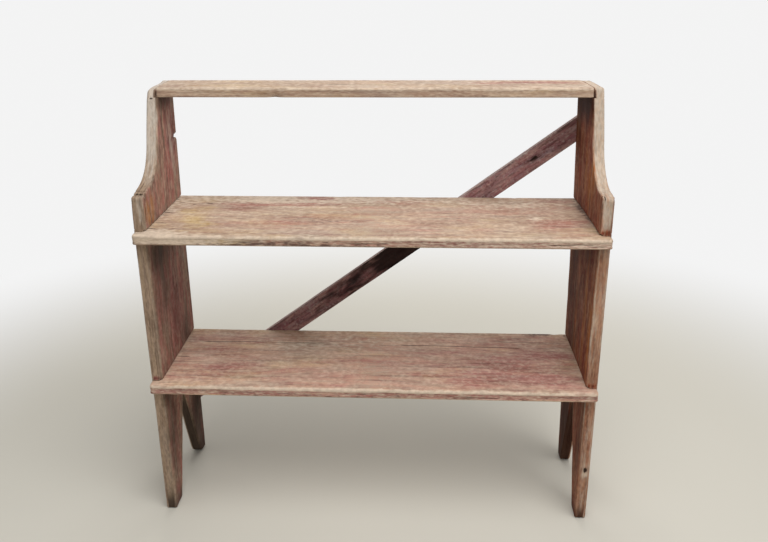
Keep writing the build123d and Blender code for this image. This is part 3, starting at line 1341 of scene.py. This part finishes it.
@dataclass(frozen=True)
class Studio:
    """Floor, plain white surroundings, lamps and the camera at the photograph's angle."""

    floor: StudioFloor = StudioFloor()
    lamps: tuple[Lamp, ...] = (
        Lamp("key_lamp", (0.7, -1.2, 3.1), (0.0, 0.0, 0.4), 2.6, 94.0),
        Lamp("wall_glow", (0.0, 2.6, 1.9), (0.0, 0.0, 0.6), 2.6, 54.0),
        Lamp("fill_lamp", (0.2, -3.4, 1.6), (0.0, 0.0, 0.5), 2.4, 16.0),
    )
    ambient: float = 0.27
    eye: tuple[float, float, float] = (0.118932, -1.804399, 1.266401)
    turn: float = 3.0586  # degrees to the left of straight at the back
    tilt: float = 21.1171  # degrees down
    roll: float = -0.4539
    lens: float = 39.6407
    sensor: float = 36.0

    def build(self) -> None:
        """Sets up everything that isn't part of the bench."""
        self.floor.build()
        for lamp in self.lamps:
            lamp.build()
        self.surround()
        self.camera()
        bpy.context.scene.view_settings.view_transform = "Standard"

    def surround(self) -> None:
        """White for what looks straight at it, a weaker even light for everything else."""
        scene = bpy.context.scene
        scene.world = bpy.data.worlds.new("white_surroundings")
        scene.world.use_nodes = True
        tree = scene.world.node_tree
        tree.nodes.clear()
        strength = ranged(tree, seen_directly(tree), (0.0, 1.0), (self.ambient, WHITE), "LINEAR")
        sky = add_node(tree, "Background", {}, {"Color": (1, 1, 1, 1), "Strength": strength})
        add_node(tree, "OutputWorld", {}, {"Surface": sky.outputs["Background"]})

    def camera(self) -> None:
        """Stands the camera where the photograph was taken from."""
        data = bpy.data.cameras.new("camera")
        data.sensor_fit = "HORIZONTAL"
        data.sensor_width = self.sensor
        data.lens = self.lens
        camera = linked("camera", data)
        turn = Matrix.Rotation(radians(self.turn), 4, "Z")
        tilt = Matrix.Rotation(radians(90 - self.tilt), 4, "X")
        roll = Matrix.Rotation(radians(self.roll), 4, "Z")
        camera.matrix_world = Matrix.Translation(self.eye) @ turn @ tilt @ roll
        bpy.context.scene.camera = camera


SPLIT_DARK = Coat("#20150e", Streak(30.0, 3.0), 0.2, 0.5, 0.95, Wear.SPLIT)


def shelf_pine(name: str, woods: tuple[str, str], paints: tuple[str, str]) -> PaintedPine:
    """Weathered pine under the remains of red paint: tan and grey, flecked, rubbed pale in front.

    Args:
        name: name of the material.
        woods: the light and dark wood.
        paints: the thin red and the thick red.

    Returns:
        The finish.
    """
    return PaintedPine(
        name=name,
        light_wood=woods[0],
        dark_wood=woods[1],
        ground=Streak(160.0, 48.0, 4.0, 0.3),
        tooth=Streak(12.0, 9.0, 3.0),
        coats=(
            Coat("#968a7f", Streak(150.0, 54.0, 3.0), 0.46, 0.72, 0.4, tooth=0.25),
            Coat("#c6aa78", Streak(170.0, 64.0, 3.0), 0.47, 0.74, 0.4, tooth=0.2),
            Coat(paints[0], Streak(120.0, 28.0, 4.0, 0.3), 0.26, 0.82, 0.76, Wear.PAINT, tooth=-0.2),
            Coat(paints[1], Streak(130.0, 13.0, 4.0), 0.5, 0.92, 0.56, Wear.PAINT, tooth=-0.25),
            Coat("#b99c58", Streak(70.0, 50.0, 3.0), 0.36, 0.8, 0.62, Wear.OCHRE, tooth=0.2),
            Coat("#d8c5ad", Streak(90.0, 13.0, 3.0), 0.48, 0.7, 0.3),
            Coat("#6a5044", Streak(84.0, 13.0, 3.0), 0.48, 0.7, 0.32, relief=-0.3),
            Coat("#55392d", Streak(210.0, 10.0, 2.0), 0.55, 0.66, 0.3, relief=-0.3),
            Coat("#d6c4af", Streak(16.0, 10.0, 3.0), 0.36, 0.78, 0.72, Wear.BARE, tooth=0.4, relief=0.1),
            Coat("#523730", Streak(60.0, 10.0, 4.0), 0.53, 0.74, 0.3),
            Coat("#5f463c", Streak(10.0, 9.0, 3.0), 0.36, 0.64, 0.21),
            Coat("#e0d0b9", Streak(11.0, 9.0, 3.0), 0.42, 0.7, 0.21),
            # Dirt, and painted shade along the end boards and along the bottom of the lips
            Coat("#432b28", Streak(16.0, 11.0, 3.0), 0.45, 0.78, 0.8, Wear.GRIME, tooth=0.3),
            SPLIT_DARK,
        ),
    )


SHELF_PINE = shelf_pine(
    "weathered_pine_shelves_worn_red_paint", ("#b89e87", "#a28672"), ("#a06458", "#784746"),
)

# The low shelf's wood is drawn paler than the other shelves', and its red more toward mauve
LOW_SHELF_PINE = shelf_pine(
    "weathered_pine_low_shelf_worn_red_paint", ("#ccac95", "#b7957f"), ("#a05f5a", "#734340"),
)


def end_pine(
    name: str,
    woods: tuple[str, str],
    paints: tuple[str, str],
    washes: tuple[str, str, str],
    stain: str,
    soil_and_shade: str,
) -> PaintedPine:
    """The same pine on the ends, where the red was less rubbed and its colour went two ways.

    Args:
        name: name of the material.
        woods: the light and dark wood.
        paints: the thin red and the thick red.
        washes: the weathered film, the pale streaks and the rubbed edges.
        stain: the yellowed varnish.
        soil_and_shade: the dirt near the floor, and the painted shade under the shelves and on the rear legs.

    Returns:
        The finish.
    """
    return PaintedPine(
        name=name,
        light_wood=woods[0],
        dark_wood=woods[1],
        ground=Streak(150.0, 38.0, 4.0, 0.3),
        tooth=Streak(14.0, 10.0, 3.0),
        coats=(
            Coat(washes[0], Streak(140.0, 36.0, 3.0), 0.46, 0.72, 0.4, tooth=0.25),
            Coat(paints[0], Streak(120.0, 26.0, 4.0, 0.3), 0.26, 0.78, 0.85, Wear.PAINT, tooth=-0.35),
            Coat(paints[1], Streak(70.0, 16.0), 0.5, 0.82, 0.6, Wear.PAINT, tooth=-0.4),
            Coat(stain, Streak(110.0, 20.0), 0.4, 0.76, 0.7, Wear.OCHRE, tooth=0.2),
            Coat(washes[1], Streak(120.0, 14.0, 3.0), 0.5, 0.7, 0.44),
            Coat("#463129", Streak(110.0, 14.0, 3.0), 0.5, 0.7, 0.44, relief=-0.3),
            Coat("#402a24", Streak(200.0, 13.0, 2.0), 0.55, 0.66, 0.36, relief=-0.3),
            Coat(washes[2], Streak(60.0, 16.0), 0.28, 0.82, 0.8, Wear.BARE, tooth=0.3, relief=0.1),
            Coat("#3a2720", Streak(60.0, 11.0, 4.0), 0.53, 0.74, 0.32),
            Coat("#4d372c", Streak(11.0, 10.0, 3.0), 0.38, 0.66, 0.24),
            Coat(washes[1], Streak(12.0, 10.0, 3.0), 0.42, 0.7, 0.28),
            # Dirt near the floor, and painted shade under the shelves and on the rear legs
            Coat(soil_and_shade, Streak(70.0, 24.0), -0.25, 1.35, 0.9, Wear.GRIME, gain=2.5, tooth=0.3),
            SPLIT_DARK,
        ),
    )


# The left end faded to rose and grey
LEFT_PINE = end_pine(
    "weathered_pine_left_end_faded_red_paint", ("#9e8871", "#8d7762"), ("#b06760", "#763f3d"),
    ("#8b8073", "#bfa590", "#c9beb1"), "#ab763f", "#352a22",
)

# The right end, away from the light, went brown
RIGHT_PINE = end_pine(
    "weathered_pine_right_end_browned_red_paint", ("#aa8068", "#7d503c"), ("#8f4029", "#5a1d11"),
    ("#8d6f58", "#bb9270", "#c1b4a3"), "#a8662b", "#2a140b",
)

# A rough-sawn lath that kept most of its dark red, with a fur of raised grain
BRACE_PINE = PaintedPine(
    name="rough_sawn_pine_lath_dark_red_paint",
    light_wood="#aa877f",
    dark_wood="#836362",
    ground=Streak(70.0, 14.0, 4.0),
    tooth=Streak(6.0, 5.0, 2.0),
    coats=(
        Coat("#908186", Streak(70.0, 12.0, 3.0), 0.48, 0.72, 0.45, tooth=0.4),
        Coat("#865054", Streak(60.0, 10.0), 0.36, 0.7, 0.65, Wear.PAINT, tooth=-0.5, relief=0.06),
        Coat("#56302f", Streak(40.0, 8.0), 0.54, 0.8, 0.5, Wear.PAINT, tooth=-0.5),
        Coat("#3a2624", Streak(50.0, 6.0, 3.0), 0.5, 0.68, 0.5, relief=-0.3),
        Coat("#bcaaa0", Streak(40.0, 6.0), 0.4, 0.76, 0.8, Wear.BARE, tooth=0.5, relief=0.1),
        Coat("#2c1b1a", Streak(5.5, 5.0, 1.0), 0.54, 0.76, 0.4),
        Coat("#b7a49c", Streak(6.0, 5.0, 1.0), 0.56, 0.78, 0.3),
        # Dirt, and the painted shade where the brace runs under the middle shelf
        Coat("#170f0d", Streak(60.0, 16.0), 0.42, 0.76, 0.92, Wear.GRIME),
        SPLIT_DARK,
    ),
)

IRON = RustedIron()


def shelf(node: str, finish: PaintedPine, seed: int, **own: Any) -> Shelf:
    """A level board with u to the right and w up.

    Args:
        node: name of the CAD node.
        finish: what it looks like.
        seed: picks its patterns.
        own: the sizes and damage that only this shelf has.

    Returns:
        The shelf, ready to build.
    """
    low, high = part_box(node)
    thickness = (high.z - low.z) / MM
    axes = Axes(Vector((0, 0, low.z)), RIGHT, BACK, UP)
    return Shelf(
        node=node, slot="shelves", finish=finish, seed=seed, axes=axes, thickness=thickness,
        section=thickness - SECTION_DEPTH, **own,
    )


def deep_shelf_wear() -> dict[str, float]:
    """The wear that the two deep shelves share. Their lips lie ahead of the end boards."""
    return dict(
        arris=1.0, lip=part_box("left_end_board")[0].y / MM, wander=1.2, splinter=1.3, hollow=0.7, groove=0.4,
    )


UNDERSIDE = Look(paint=0.2, bare=0.05, ochre=0.1, grime=0.5)


def shelf_tongue(node: str) -> float:
    """How far from the middle a shelf's housed ends reach."""
    _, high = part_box(node)
    line = section_loop(node, Vector((0, 0, high.z - SECTION_DEPTH * MM)), UP) / MM
    return line[line[:, 1] > 0, 0].max()


def nail_places(axes: Axes, joint: str) -> list[tuple[float, float]]:
    """Where the nail heads lie in a board's hidden face.

    Args:
        axes: the board's own directions.
        joint: how the names of its nail groups begin.

    Returns:
        The (u, v) of every head.
    """
    found = []
    for name in sorted(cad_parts):
        if name.startswith(joint) and name.endswith("_nails"):
            corners = np.array([vert.co[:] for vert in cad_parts[name].data.vertices])
            places = axes.to_board(corners)
            heads = places[places[:, 2] < places[:, 2].min() + HEAD_DEPTH, :2]
            longest = np.ptp(heads, axis=0).argmax()
            heads = heads[heads[:, longest].argsort()]
            gaps = np.flatnonzero(np.diff(heads[:, longest]) > HEAD_GAP) + 1
            found += [tuple(group.mean(0).tolist()) for group in np.split(heads, gaps)]
    return found


def nail_dents(places: list[tuple[float, float]]) -> tuple[Knot, ...]:
    """The shallow dents that the hammer left around nail heads."""
    return tuple(Knot(u, v, *HEAD_DENT, Face.HIDDEN) for u, v in places)


def nail_stains(places: list[tuple[float, float]]) -> tuple[Patch, ...]:
    """The dark stains that rusting nail heads leave along the grain."""
    return spots(Wear.GRIME, Face.HIDDEN, *((u, v, *HEAD_STAIN) for u, v in places))


def end_board(side: int) -> EndBoard:
    """One end board with its own damage.

    Args:
        side: -1 for the left end, 1 for the right.

    Returns:
        The board, ready to build.
    """
    node = "left_end_board" if side < 0 else "right_end_board"
    low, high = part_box(node)
    outer, inner = (low.x, high.x) if side < 0 else (high.x, low.x)
    axes = Axes(Vector((outer, 0, 0)), UP, BACK, Vector((-side, 0, 0)))
    housings = []
    for housed in ("bottom_shelf", "middle_shelf"):
        shelf_low, shelf_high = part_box(housed)
        housings.append((shelf_low.z / MM, shelf_high.z / MM, shelf_tongue(housed) - abs(inner) / MM))
    top_low, top_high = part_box("top_shelf")
    rabbet = (top_high.x - abs(inner)) / MM - RABBET_TIGHT
    housings.append((top_low.z / MM, 2 * top_high.z / MM, rabbet))
    front, back = low.y / MM, high.y / MM
    heads = nail_places(axes, node.split("_")[0])
    shared = dict(
        slot="end_boards", axes=axes, thickness=abs(outer - inner) / MM, section=10.0, arris=2.6,
        hidden_arris=1.8, rounding=1, wander=0.9, hollow=0.6, groove=0.4, rub=0.3 if side < 0 else 0.45,
        rub_reach=3.2, housings=tuple(housings),
    )
    feet = tuple(
        Nick(0, place, 26, 3.0, face)
        for place in (front + 20, back - 20)
        for face in (Face.SHOW, Face.HIDDEN)
    )
    rim = (
        # The pale wood taken off at u 120 darkens the rear legs' front edges: their own dark paint, and
        # painted shade under the bottom shelf.
        *spots(
            Wear.BARE, Face.EDGE, (890, 20, 120, 130, 0.5), (985, 95, 20, 70, 0.4),
            (120, 50, 150, 75, -0.7),
        ),
        # The grime at u 120 darkens the rear legs' front edges: their own dark paint, and painted shade under
        # the bottom shelf.
        *spots(
            Wear.GRIME, Face.EDGE, (900, 20, 120, 130, -0.2), (0, 5, 34, 300, 0.75),
            (120, 60, 150, 60, 0.9),
        ),
        # The grime at u 955, 650 and 312 is painted shade under the top, middle and bottom shelves.
        *spots(
            Wear.GRIME, Face.SHOW, (0, 5, 34, 300, 0.5), (955, 80, 24, 90, 0.4), (650, 5, 50, 200, 0.3),
            (312, 5, 30, 200, 0.35),
        ),
        # The pale wood taken off at u 130 darkens the rear legs' inner faces: their own dark paint, and
        # painted shade.
        *spots(Wear.BARE, Face.SHOW, (130, 85, 200, 85, -0.7), (600, back, 500, 6, -0.45)),
        *nail_stains(heads),
    )
    if side < 0:
        return EndBoard(
            node=node, seed=1, finish=LEFT_PINE, **shared,
            looks={
                Face.SHOW: Look(paint=0.52, bare=0.12, ochre=0.08, grime=0.12),
                Face.HIDDEN: Look(paint=0.5, bare=0.2, ochre=0.05, grime=0.15),
                Face.EDGE: Look(paint=0.05, bare=0.12, ochre=0.15, grime=0.16),
            },
            patches=rim + (
                # At u 940 this is painted shade under the top shelf, at u 520 painted shade in the bay under
                # the middle shelf and at u 180 painted shade under the bottom shelf; at u 140 it darkens the
                # rear leg, its own dark paint and painted shade.
                *spots(
                    Wear.GRIME, Face.SHOW, (940, 80, 34, 90, 0.2), (880, 34, 70, 12, 0.25),
                    (520, 10, 210, 190, 0.3), (600, -70, 130, 50, 0.22), (390, 60, 60, 90, 0.1),
                    (180, -100, 160, 60, 0.46), (140, 100, 200, 75, 0.66), (851, 115, 9, 22, 0.35),
                ),
                *spots(
                    Wear.BARE, Face.SHOW, (840, 95, 100, 34, 0.4), (640, 70, 60, 14, 0.5),
                    (600, 110, 80, 14, 0.4),
                ),
                *spots(Wear.PAINT, Face.SHOW, (870, 90, 70, 40, 0.25), (480, 10, 90, 45, 0.3)),
                *spots(Wear.OCHRE, Face.SHOW, (740, -90, 45, 45, 0.7)),
                *spots(Wear.GRIME, Face.EDGE, (42, front, 36, 40, 0.2), (353, front, 6, 14, 0.3)),
                *spots(
                    Wear.BARE, Face.EDGE, (745, front, 40, 14, 0.38), (900, 20, 130, 130, 0.22),
                    (420, front, 330, 14, -0.22), (979, 85, 14, 80, 0.5),
                ),
                *spots(Wear.PAINT, Face.EDGE, (353, front, 6, 14, 0.7)),
                *spots(
                    Wear.SPLIT, Face.EDGE, (956, 27, 1.8, 20, 0.9, 5.0, 10.0), (781, -118, 3.5, 4, 1.0),
                    (784, -103, 2.5, 3, 0.8),
                ),
                *spots(Wear.BARE, Face.HIDDEN, (979, 90, 30, 80, 0.6), (900, 20, 90, 25, 0.5)),
            ),
            splits=(
                Split(((950, 53), (909, 42), (879, 40), (842, 41)), 0.9, 3.0),
                Split(((870, 46), (835, 43), (790, 33)), 0.5, 1.5),
                Split(((780, -119), (756, -122), (722, -124)), 1.0, 3.0),
                Split(((640, 35), (560, 32), (500, 36)), 0.5, 1.5),
                Split(((430, -40), (365, -44)), 0.5, 1.2),
            ),
            bites=(
                Bite(851, back, 3.6, 17.0), Bite(781, -118, 2.2, 5.0), Bite(784, -103, 1.5, 3.0),
                Bite(979, 31, 15, 5.0), Bite(957, 27, 1.5, 1.2), Bite(2, front + 2, 7, -3.0),
                Bite(0, back - 38, 14, 6.0),
            ),
            nicks=feet + (
                Nick(979, 90, 70, 13.0, Face.HIDDEN), Nick(979, 31, 22, 3.0),
                Nick(778, front, 25, 1.5, Face.HIDDEN),
            ),
            knots=(Knot(851, 112, 7, 18, -1.2), *nail_dents(heads)),
        )
    return EndBoard(
        node=node, seed=2, finish=RIGHT_PINE, **shared,
        looks={
            Face.SHOW: Look(paint=0.62, bare=0.05, ochre=0.38, grime=0.14),
            Face.HIDDEN: Look(paint=0.5, bare=0.2, ochre=0.1, grime=0.15),
            Face.EDGE: Look(paint=0.24, bare=0.35, ochre=0.0, grime=0.08),
        },
        patches=rim + (
            # At u 930 and 880 this is painted shade under the top shelf, at u 520 and 560 painted shade in the
            # bay under the middle shelf and at u 180 painted shade under the bottom shelf; at u 140 it darkens
            # the rear leg, its own dark paint and painted shade.
            *spots(
                Wear.GRIME, Face.SHOW, (930, 60, 50, 90, 0.52), (880, 130, 90, 40, 0.3),
                (520, 20, 210, 190, 0.29), (560, 100, 170, 50, 0.26), (480, -100, 160, 26, -0.25),
                (180, -100, 160, 60, 0.36), (140, 80, 200, 80, 0.8),
            ),
            *spots(
                Wear.OCHRE, Face.SHOW, (780, 0, 60, 60, 0.3), (520, -50, 150, 16, 0.45),
                (500, 40, 130, 14, 0.35), (460, -112, 130, 14, 0.5),
            ),
            *spots(Wear.PAINT, Face.SHOW, (900, 60, 70, 25, 0.25), (500, -86, 200, 16, 0.6)),
            *spots(Wear.BARE, Face.HIDDEN, (880, 20, 130, 60, 0.5)),
            *spots(
                Wear.BARE, Face.EDGE, (745, front, 32, 14, 0.44), (805, -90, 45, 50, 0.35),
                (880, 20, 130, 140, 0.17), (708, front, 6, 12, -0.3), (353, front, 6, 12, -0.3),
                (121, front, 7, 20, 0.5, 10.0, 6.0), (130, front, 150, 14, 0.12),
            ),
            *spots(
                Wear.GRIME, Face.EDGE, (745, front, 32, 14, -0.1), (40, front, 30, 40, 0.12),
                (120, 60, 150, 60, 0.5),
            ),
            *spots(
                Wear.PAINT, Face.EDGE, (745, front, 32, 14, 0.42), (805, -90, 45, 50, -0.3),
                (880, 20, 130, 140, -0.35), (708, front, 5, 12, 0.6), (353, front, 5, 12, 0.6),
                (200, front, 60, 12, 0.15),
            ),
            *spots(Wear.BARE, Face.SHOW, (815, -70, 50, 30, 0.3), (500, front + 2, 220, 6, 0.25)),
            *spots(
                Wear.SPLIT, Face.EDGE, (134, front, 7, 20, 0.8, 10.0, 5.0),
                (782, -128, 8, 10, 0.9, 22.0, 3.0),
            ),
        ),
        splits=(
            Split(((786, -119), (768, -121), (752, -123)), 0.8, 2.5),
            Split(((650, 60), (560, 66), (480, 62)), 0.6, 1.5),
        ),
        bites=(
            Bite(783, -108, 12, -3.0), Bite(779, -126, 9, -5.0), Bite(786, -121, 3.0, 2.0),
            Bite(530, back, 26, 1.6), Bite(455, back, 22, 2.2), Bite(2, front + 2, 7, -2.0),
            Bite(0, back - 38, 14, 2.5),
        ),
        nicks=feet + (Nick(979, back - 60, 60, 1.5, Face.HIDDEN),),
        knots=nail_dents(heads),
    )


def middle_shelf() -> Shelf:
    """The shelf that the buckets stood on: worn pale at its left end and along its front."""
    low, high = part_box("middle_shelf")
    lip, back = low.y / MM, high.y / MM
    return shelf(
        "middle_shelf", SHELF_PINE, 3, **deep_shelf_wear(),
        looks={
            Face.SHOW: Look(paint=0.36, bare=0.16, ochre=0.14, grime=0.14),
            Face.HIDDEN: UNDERSIDE,
            Face.EDGE: Look(paint=0.54, bare=0.46, ochre=0.15, grime=0.16),
        },
        patches=(
            # The pale patch at u -150, v 115 is painted light along the back, where the top shelf shades it.
            *spots(
                Wear.BARE, Face.SHOW, (-450, 30, 60, 130, 0.3), (-470, -145, 110, 30, 0.6),
                (0, lip + 1, 600, 6, 0.42), (-150, 115, 330, 46, 0.6), (330, 80, 150, 50, 0.4),
                (-145, 128, 60, 16, -0.35), (-275, 100, 60, 18, 0.2), (220, -20, 100, 60, 0.15),
                (-150, 52, 120, 5, 0.45), (358, -25, 15, 14, 0.7),
            ),
            *spots(
                Wear.PAINT, Face.SHOW, (-445, 30, 90, 150, -0.35), (-120, -55, 110, 55, 0.12),
                (-145, 128, 60, 16, 0.3), (400, -65, 60, 55, 0.24), (100, -100, 80, 26, 0.16),
                (-275, 100, 60, 18, -0.2), (-110, 112, 120, 22, 0.25), (-190, 74, 130, 18, 0.28),
                (-320, 55, 70, 32, 0.3), (425, 114, 50, 14, 0.35), (250, 40, 160, 50, 0.12),
            ),
            *spots(
                Wear.OCHRE, Face.SHOW, (200, -90, 130, 60, 0.2), (-389, 35, 50, 40, 0.4),
                (-420, -45, 80, 55, 0.4), (-348, -95, 70, 50, 0.3),
            ),
            # At u 470, 474 and -477 this is painted shade along the end boards.
            *spots(
                Wear.GRIME, Face.SHOW, (-120, -50, 100, 50, 0.36), (470, 70, 14, 70, 0.45),
                (474, -20, 9, 110, 0.4), (-477, 10, 5, 150, 0.35), (60, -10, 90, 40, 0.12),
            ),
            # At u -270, low on the lip, this is painted shade along its bottom.
            *spots(
                Wear.GRIME, Face.EDGE, (-380, lip, 120, 30, -0.3), (-270, lip, 190, 30, 0.36, 3.0, 6.0),
                (270, lip, 260, 30, -0.08),
            ),
            *spots(
                Wear.BARE, Face.EDGE, (300, lip, 240, 30, 0.1), (-420, lip, 160, 30, 0.3),
                (470, lip, 60, 30, 0.15),
            ),
            *spots(Wear.PAINT, Face.EDGE, (-420, lip, 170, 30, -0.4), (220, lip, 280, 30, 0.3)),
            *spots(Wear.OCHRE, Face.EDGE, (-290, lip, 70, 30, 0.45)),
        ),
        splits=(
            Split(((-478, 110), (-466, 104)), 1.4, 2.5), Split(((-463, 83), (-448, 80)), 1.2, 2.0),
            Split(((-398, 78), (-381, 75)), 1.3, 2.0), Split(((-428, 66), (-416, 67)), 1.2, 2.0),
            Split(((-477, 5), (-460, 3)), 1.5, 2.5), Split(((-474, -18), (-460, -17)), 1.3, 2.0),
            Split(((-472, -73), (-450, -73)), 1.4, 2.5), Split(((-476, -113), (-460, -113)), 1.5, 2.5),
            Split(((-262, 57), (-104, 66), (-30, 58)), 0.35, 0.8),
            Split(((-46, -54), (-11, -53)), 0.7, 1.6), Split(((-269, -130), (-252, -130)), 0.8, 1.6),
            Split(((363, -104), (382, -104)), 0.7, 1.6),
        ),
        checks=(
            Check(352, 430, 0.375, 1.6), Check(398, 476, 0.5, 1.8), Check(440, 496, 0.25, 1.6),
            Check(-300, -236, 0.5), Check(-60, 40, 0.375),
        ),
        bites=(
            Bite(-90, back, 12, 2.0), Bite(110, back, 16, 1.6), Bite(330, back, 9, 2.2),
        ),
        knots=(Knot(358, -25, 13, 14, 0.7),),
    )


def bottom_shelf() -> Shelf:
    """The low shelf: redder, darker at the back right corner, and paler along the back, which is painted light
    where the middle shelf shades it; long cracks run along its rear third.
    """
    low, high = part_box("bottom_shelf")
    lip, back = low.y / MM, high.y / MM
    return shelf(
        "bottom_shelf", LOW_SHELF_PINE, 4, **deep_shelf_wear(),
        looks={
            Face.SHOW: Look(paint=0.52, bare=0.1, ochre=0.1, grime=0.08),
            Face.HIDDEN: UNDERSIDE,
            Face.EDGE: Look(paint=0.62, bare=0.44, ochre=0.12, grime=0.12),
        },
        patches=(
            # The pale strip at v 110, and the paint taken off at v 120 in the next group, are painted light
            # along the back, where the middle shelf shades it.
            *spots(
                Wear.BARE, Face.SHOW, (0, lip + 1, 600, 6, 0.65), (-130, 45, 190, 42, 0.34),
                (-190, 58, 90, 20, 0.14), (0, 110, 600, 50, 0.3),
            ),
            *spots(
                Wear.PAINT, Face.SHOW, (-160, -115, 330, 45, -0.14), (-120, 40, 190, 48, -0.2),
                (320, -60, 140, 75, 0.2), (380, 12, 90, 24, 0.16), (-190, 58, 90, 20, -0.14),
                (-360, -85, 70, 35, 0.16), (250, -105, 140, 24, 0.12), (0, 120, 600, 30, -0.16),
            ),
            *spots(Wear.OCHRE, Face.SHOW, (60, -105, 400, 35, 0.3)),
            # At u 474 and -474 this is painted shade along the end boards.
            *spots(
                Wear.GRIME, Face.SHOW, (405, 140, 80, 15, 0.7), (474, 20, 9, 130, 0.35),
                (-474, 20, 9, 130, 0.3),
            ),
        ),
        splits=(
            Split(((-429, 70), (-320, 73), (-200, 70), (-116, 72)), 0.7, 2.0),
            Split(((60, 66), (179, 64), (280, 61), (349, 59)), 0.8, 2.0),
            Split(((-473, -13), (-444, -12)), 0.9, 2.0), Split(((300, 92), (420, 90)), 0.4, 1.2),
        ),
        checks=(Check(-80, 10, 0.5), Check(180, 300, 0.25)),
        bites=(
            Bite(447, back, 9, 3.5), Bite(-280, back, 20, 1.5),
        ),
    )


def top_shelf() -> Shelf:
    """The narrow top board, rubbed pale all over."""
    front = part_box("top_shelf")[0].y / MM
    return shelf(
        "top_shelf", SHELF_PINE, 5, arris=0.7, lip=front + 4.0, front_arris=3.5, splintered=0.0, wander=0.8,
        splinter=0.8,
        looks={
            Face.SHOW: Look(paint=0.2, bare=0.42, ochre=0.15, grime=0.1),
            Face.HIDDEN: Look(paint=0.4, bare=0.05, ochre=0.1, grime=0.4),
            Face.EDGE: Look(paint=0.1, bare=0.3, ochre=0.1, grime=0.3),
        },
        patches=(
            *spots(Wear.PAINT, Face.SHOW, (280, 105, 150, 25, 0.45), (430, 110, 80, 20, 0.35)),
        ),
        splits=(Split(((-110, 84), (-60, 82)), 1.2, 1.8),),
        bites=(Bite(-215, front, 7, 1.2),),
        nicks=(Nick(-215, front, 10, 5.0, Face.HIDDEN),),
    )


def diagonal_brace() -> Board:
    """The lath across the back, still dark red, with black knots, and painted shade where it runs under the
    middle shelf.
    """
    node = "diagonal_brace"
    low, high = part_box(node)
    thickness = (high.y - low.y) / MM
    middle = (low + high) / 2
    line = section_loop(node, middle, BACK)
    sides = np.roll(line, -1, 0) - line
    along = Vector(sides[np.linalg.norm(sides, axis=1).argmax()]).normalized()
    if along.x < 0:
        along.negate()
    out = Vector((0, -1, 0))
    axes = Axes(Vector((middle.x, high.y, middle.z)), along, out.cross(along), out)
    marks = axes.to_board(np.array([(0.378, 0, 0.807), (0.08, 0, 0.585), (-0.02, 0, 0.51), (0.4, 0, 0.82)]))
    knot, shade, shade_end, pale = [(u, v) for u, v, _ in marks.tolist()]
    heads = nail_places(axes, "brace_")
    return Board(
        node=node, slot="brace", finish=BRACE_PINE, seed=6, axes=axes, thickness=thickness,
        section=thickness - SECTION_DEPTH, arris=1.2, wander=0.6, splinter=0.5, hollow=0.4, groove=0.3,
        rub_reach=3.0, climb=along.z / along.x,
        looks={
            Face.SHOW: Look(paint=0.5, bare=0.16, ochre=0.0, grime=0.12),
            Face.HIDDEN: Look(paint=0.5, bare=0.15, ochre=0.0, grime=0.25),
            Face.EDGE: Look(paint=0.2, bare=0.6, ochre=0.0, grime=0.1),
        },
        patches=(
            *spots(Wear.SPLIT, Face.SHOW, (*knot, 17, 5, 0.75)),
            # shade and shade_end are painted shade under the middle shelf; the grime at the knot is real.
            *spots(
                Wear.GRIME, Face.SHOW, (*knot, 34, 8, 0.35), (*shade, 60, 60, 0.8),
                (*shade_end, 230, 60, 0.54),
            ),
            *spots(Wear.BARE, Face.SHOW, (*pale, 160, 60, 0.1)),
            *nail_stains(heads),
        ),
        knots=nail_dents(heads),
    )


def nail_groups(climb: float) -> list[NailGroup]:
    """Every group of nails that the frame holds, in the order of their names.

    Args:
        climb: the brace's rise for each unit to the right, which its own nails follow.

    Returns:
        The groups, ready to build.
    """
    nodes = sorted(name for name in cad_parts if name.endswith("_nails"))
    return [
        NailGroup(node, "nails", IRON, 20 + k, climb if node.startswith("brace_") else 0.0)
        for k, node in enumerate(nodes)
    ]


def main() -> None:
    """Builds the bench, piece by piece, and the studio around it."""
    logging.basicConfig(level=logging.INFO, format="%(name)s: %(message)s", stream=sys.stdout)
    settling = settling_of_bench()
    brace = diagonal_brace()
    boards = [end_board(-1), end_board(1), middle_shelf(), bottom_shelf(), top_shelf(), brace]
    for part in [*boards, *nail_groups(brace.climb)]:
        piece = part.build(settling)
        log.info("%s stands for %s, %d faces", piece.name, part.node, len(piece.data.polygons))
    Studio().build()


if __name__ == "__main__":
    main()
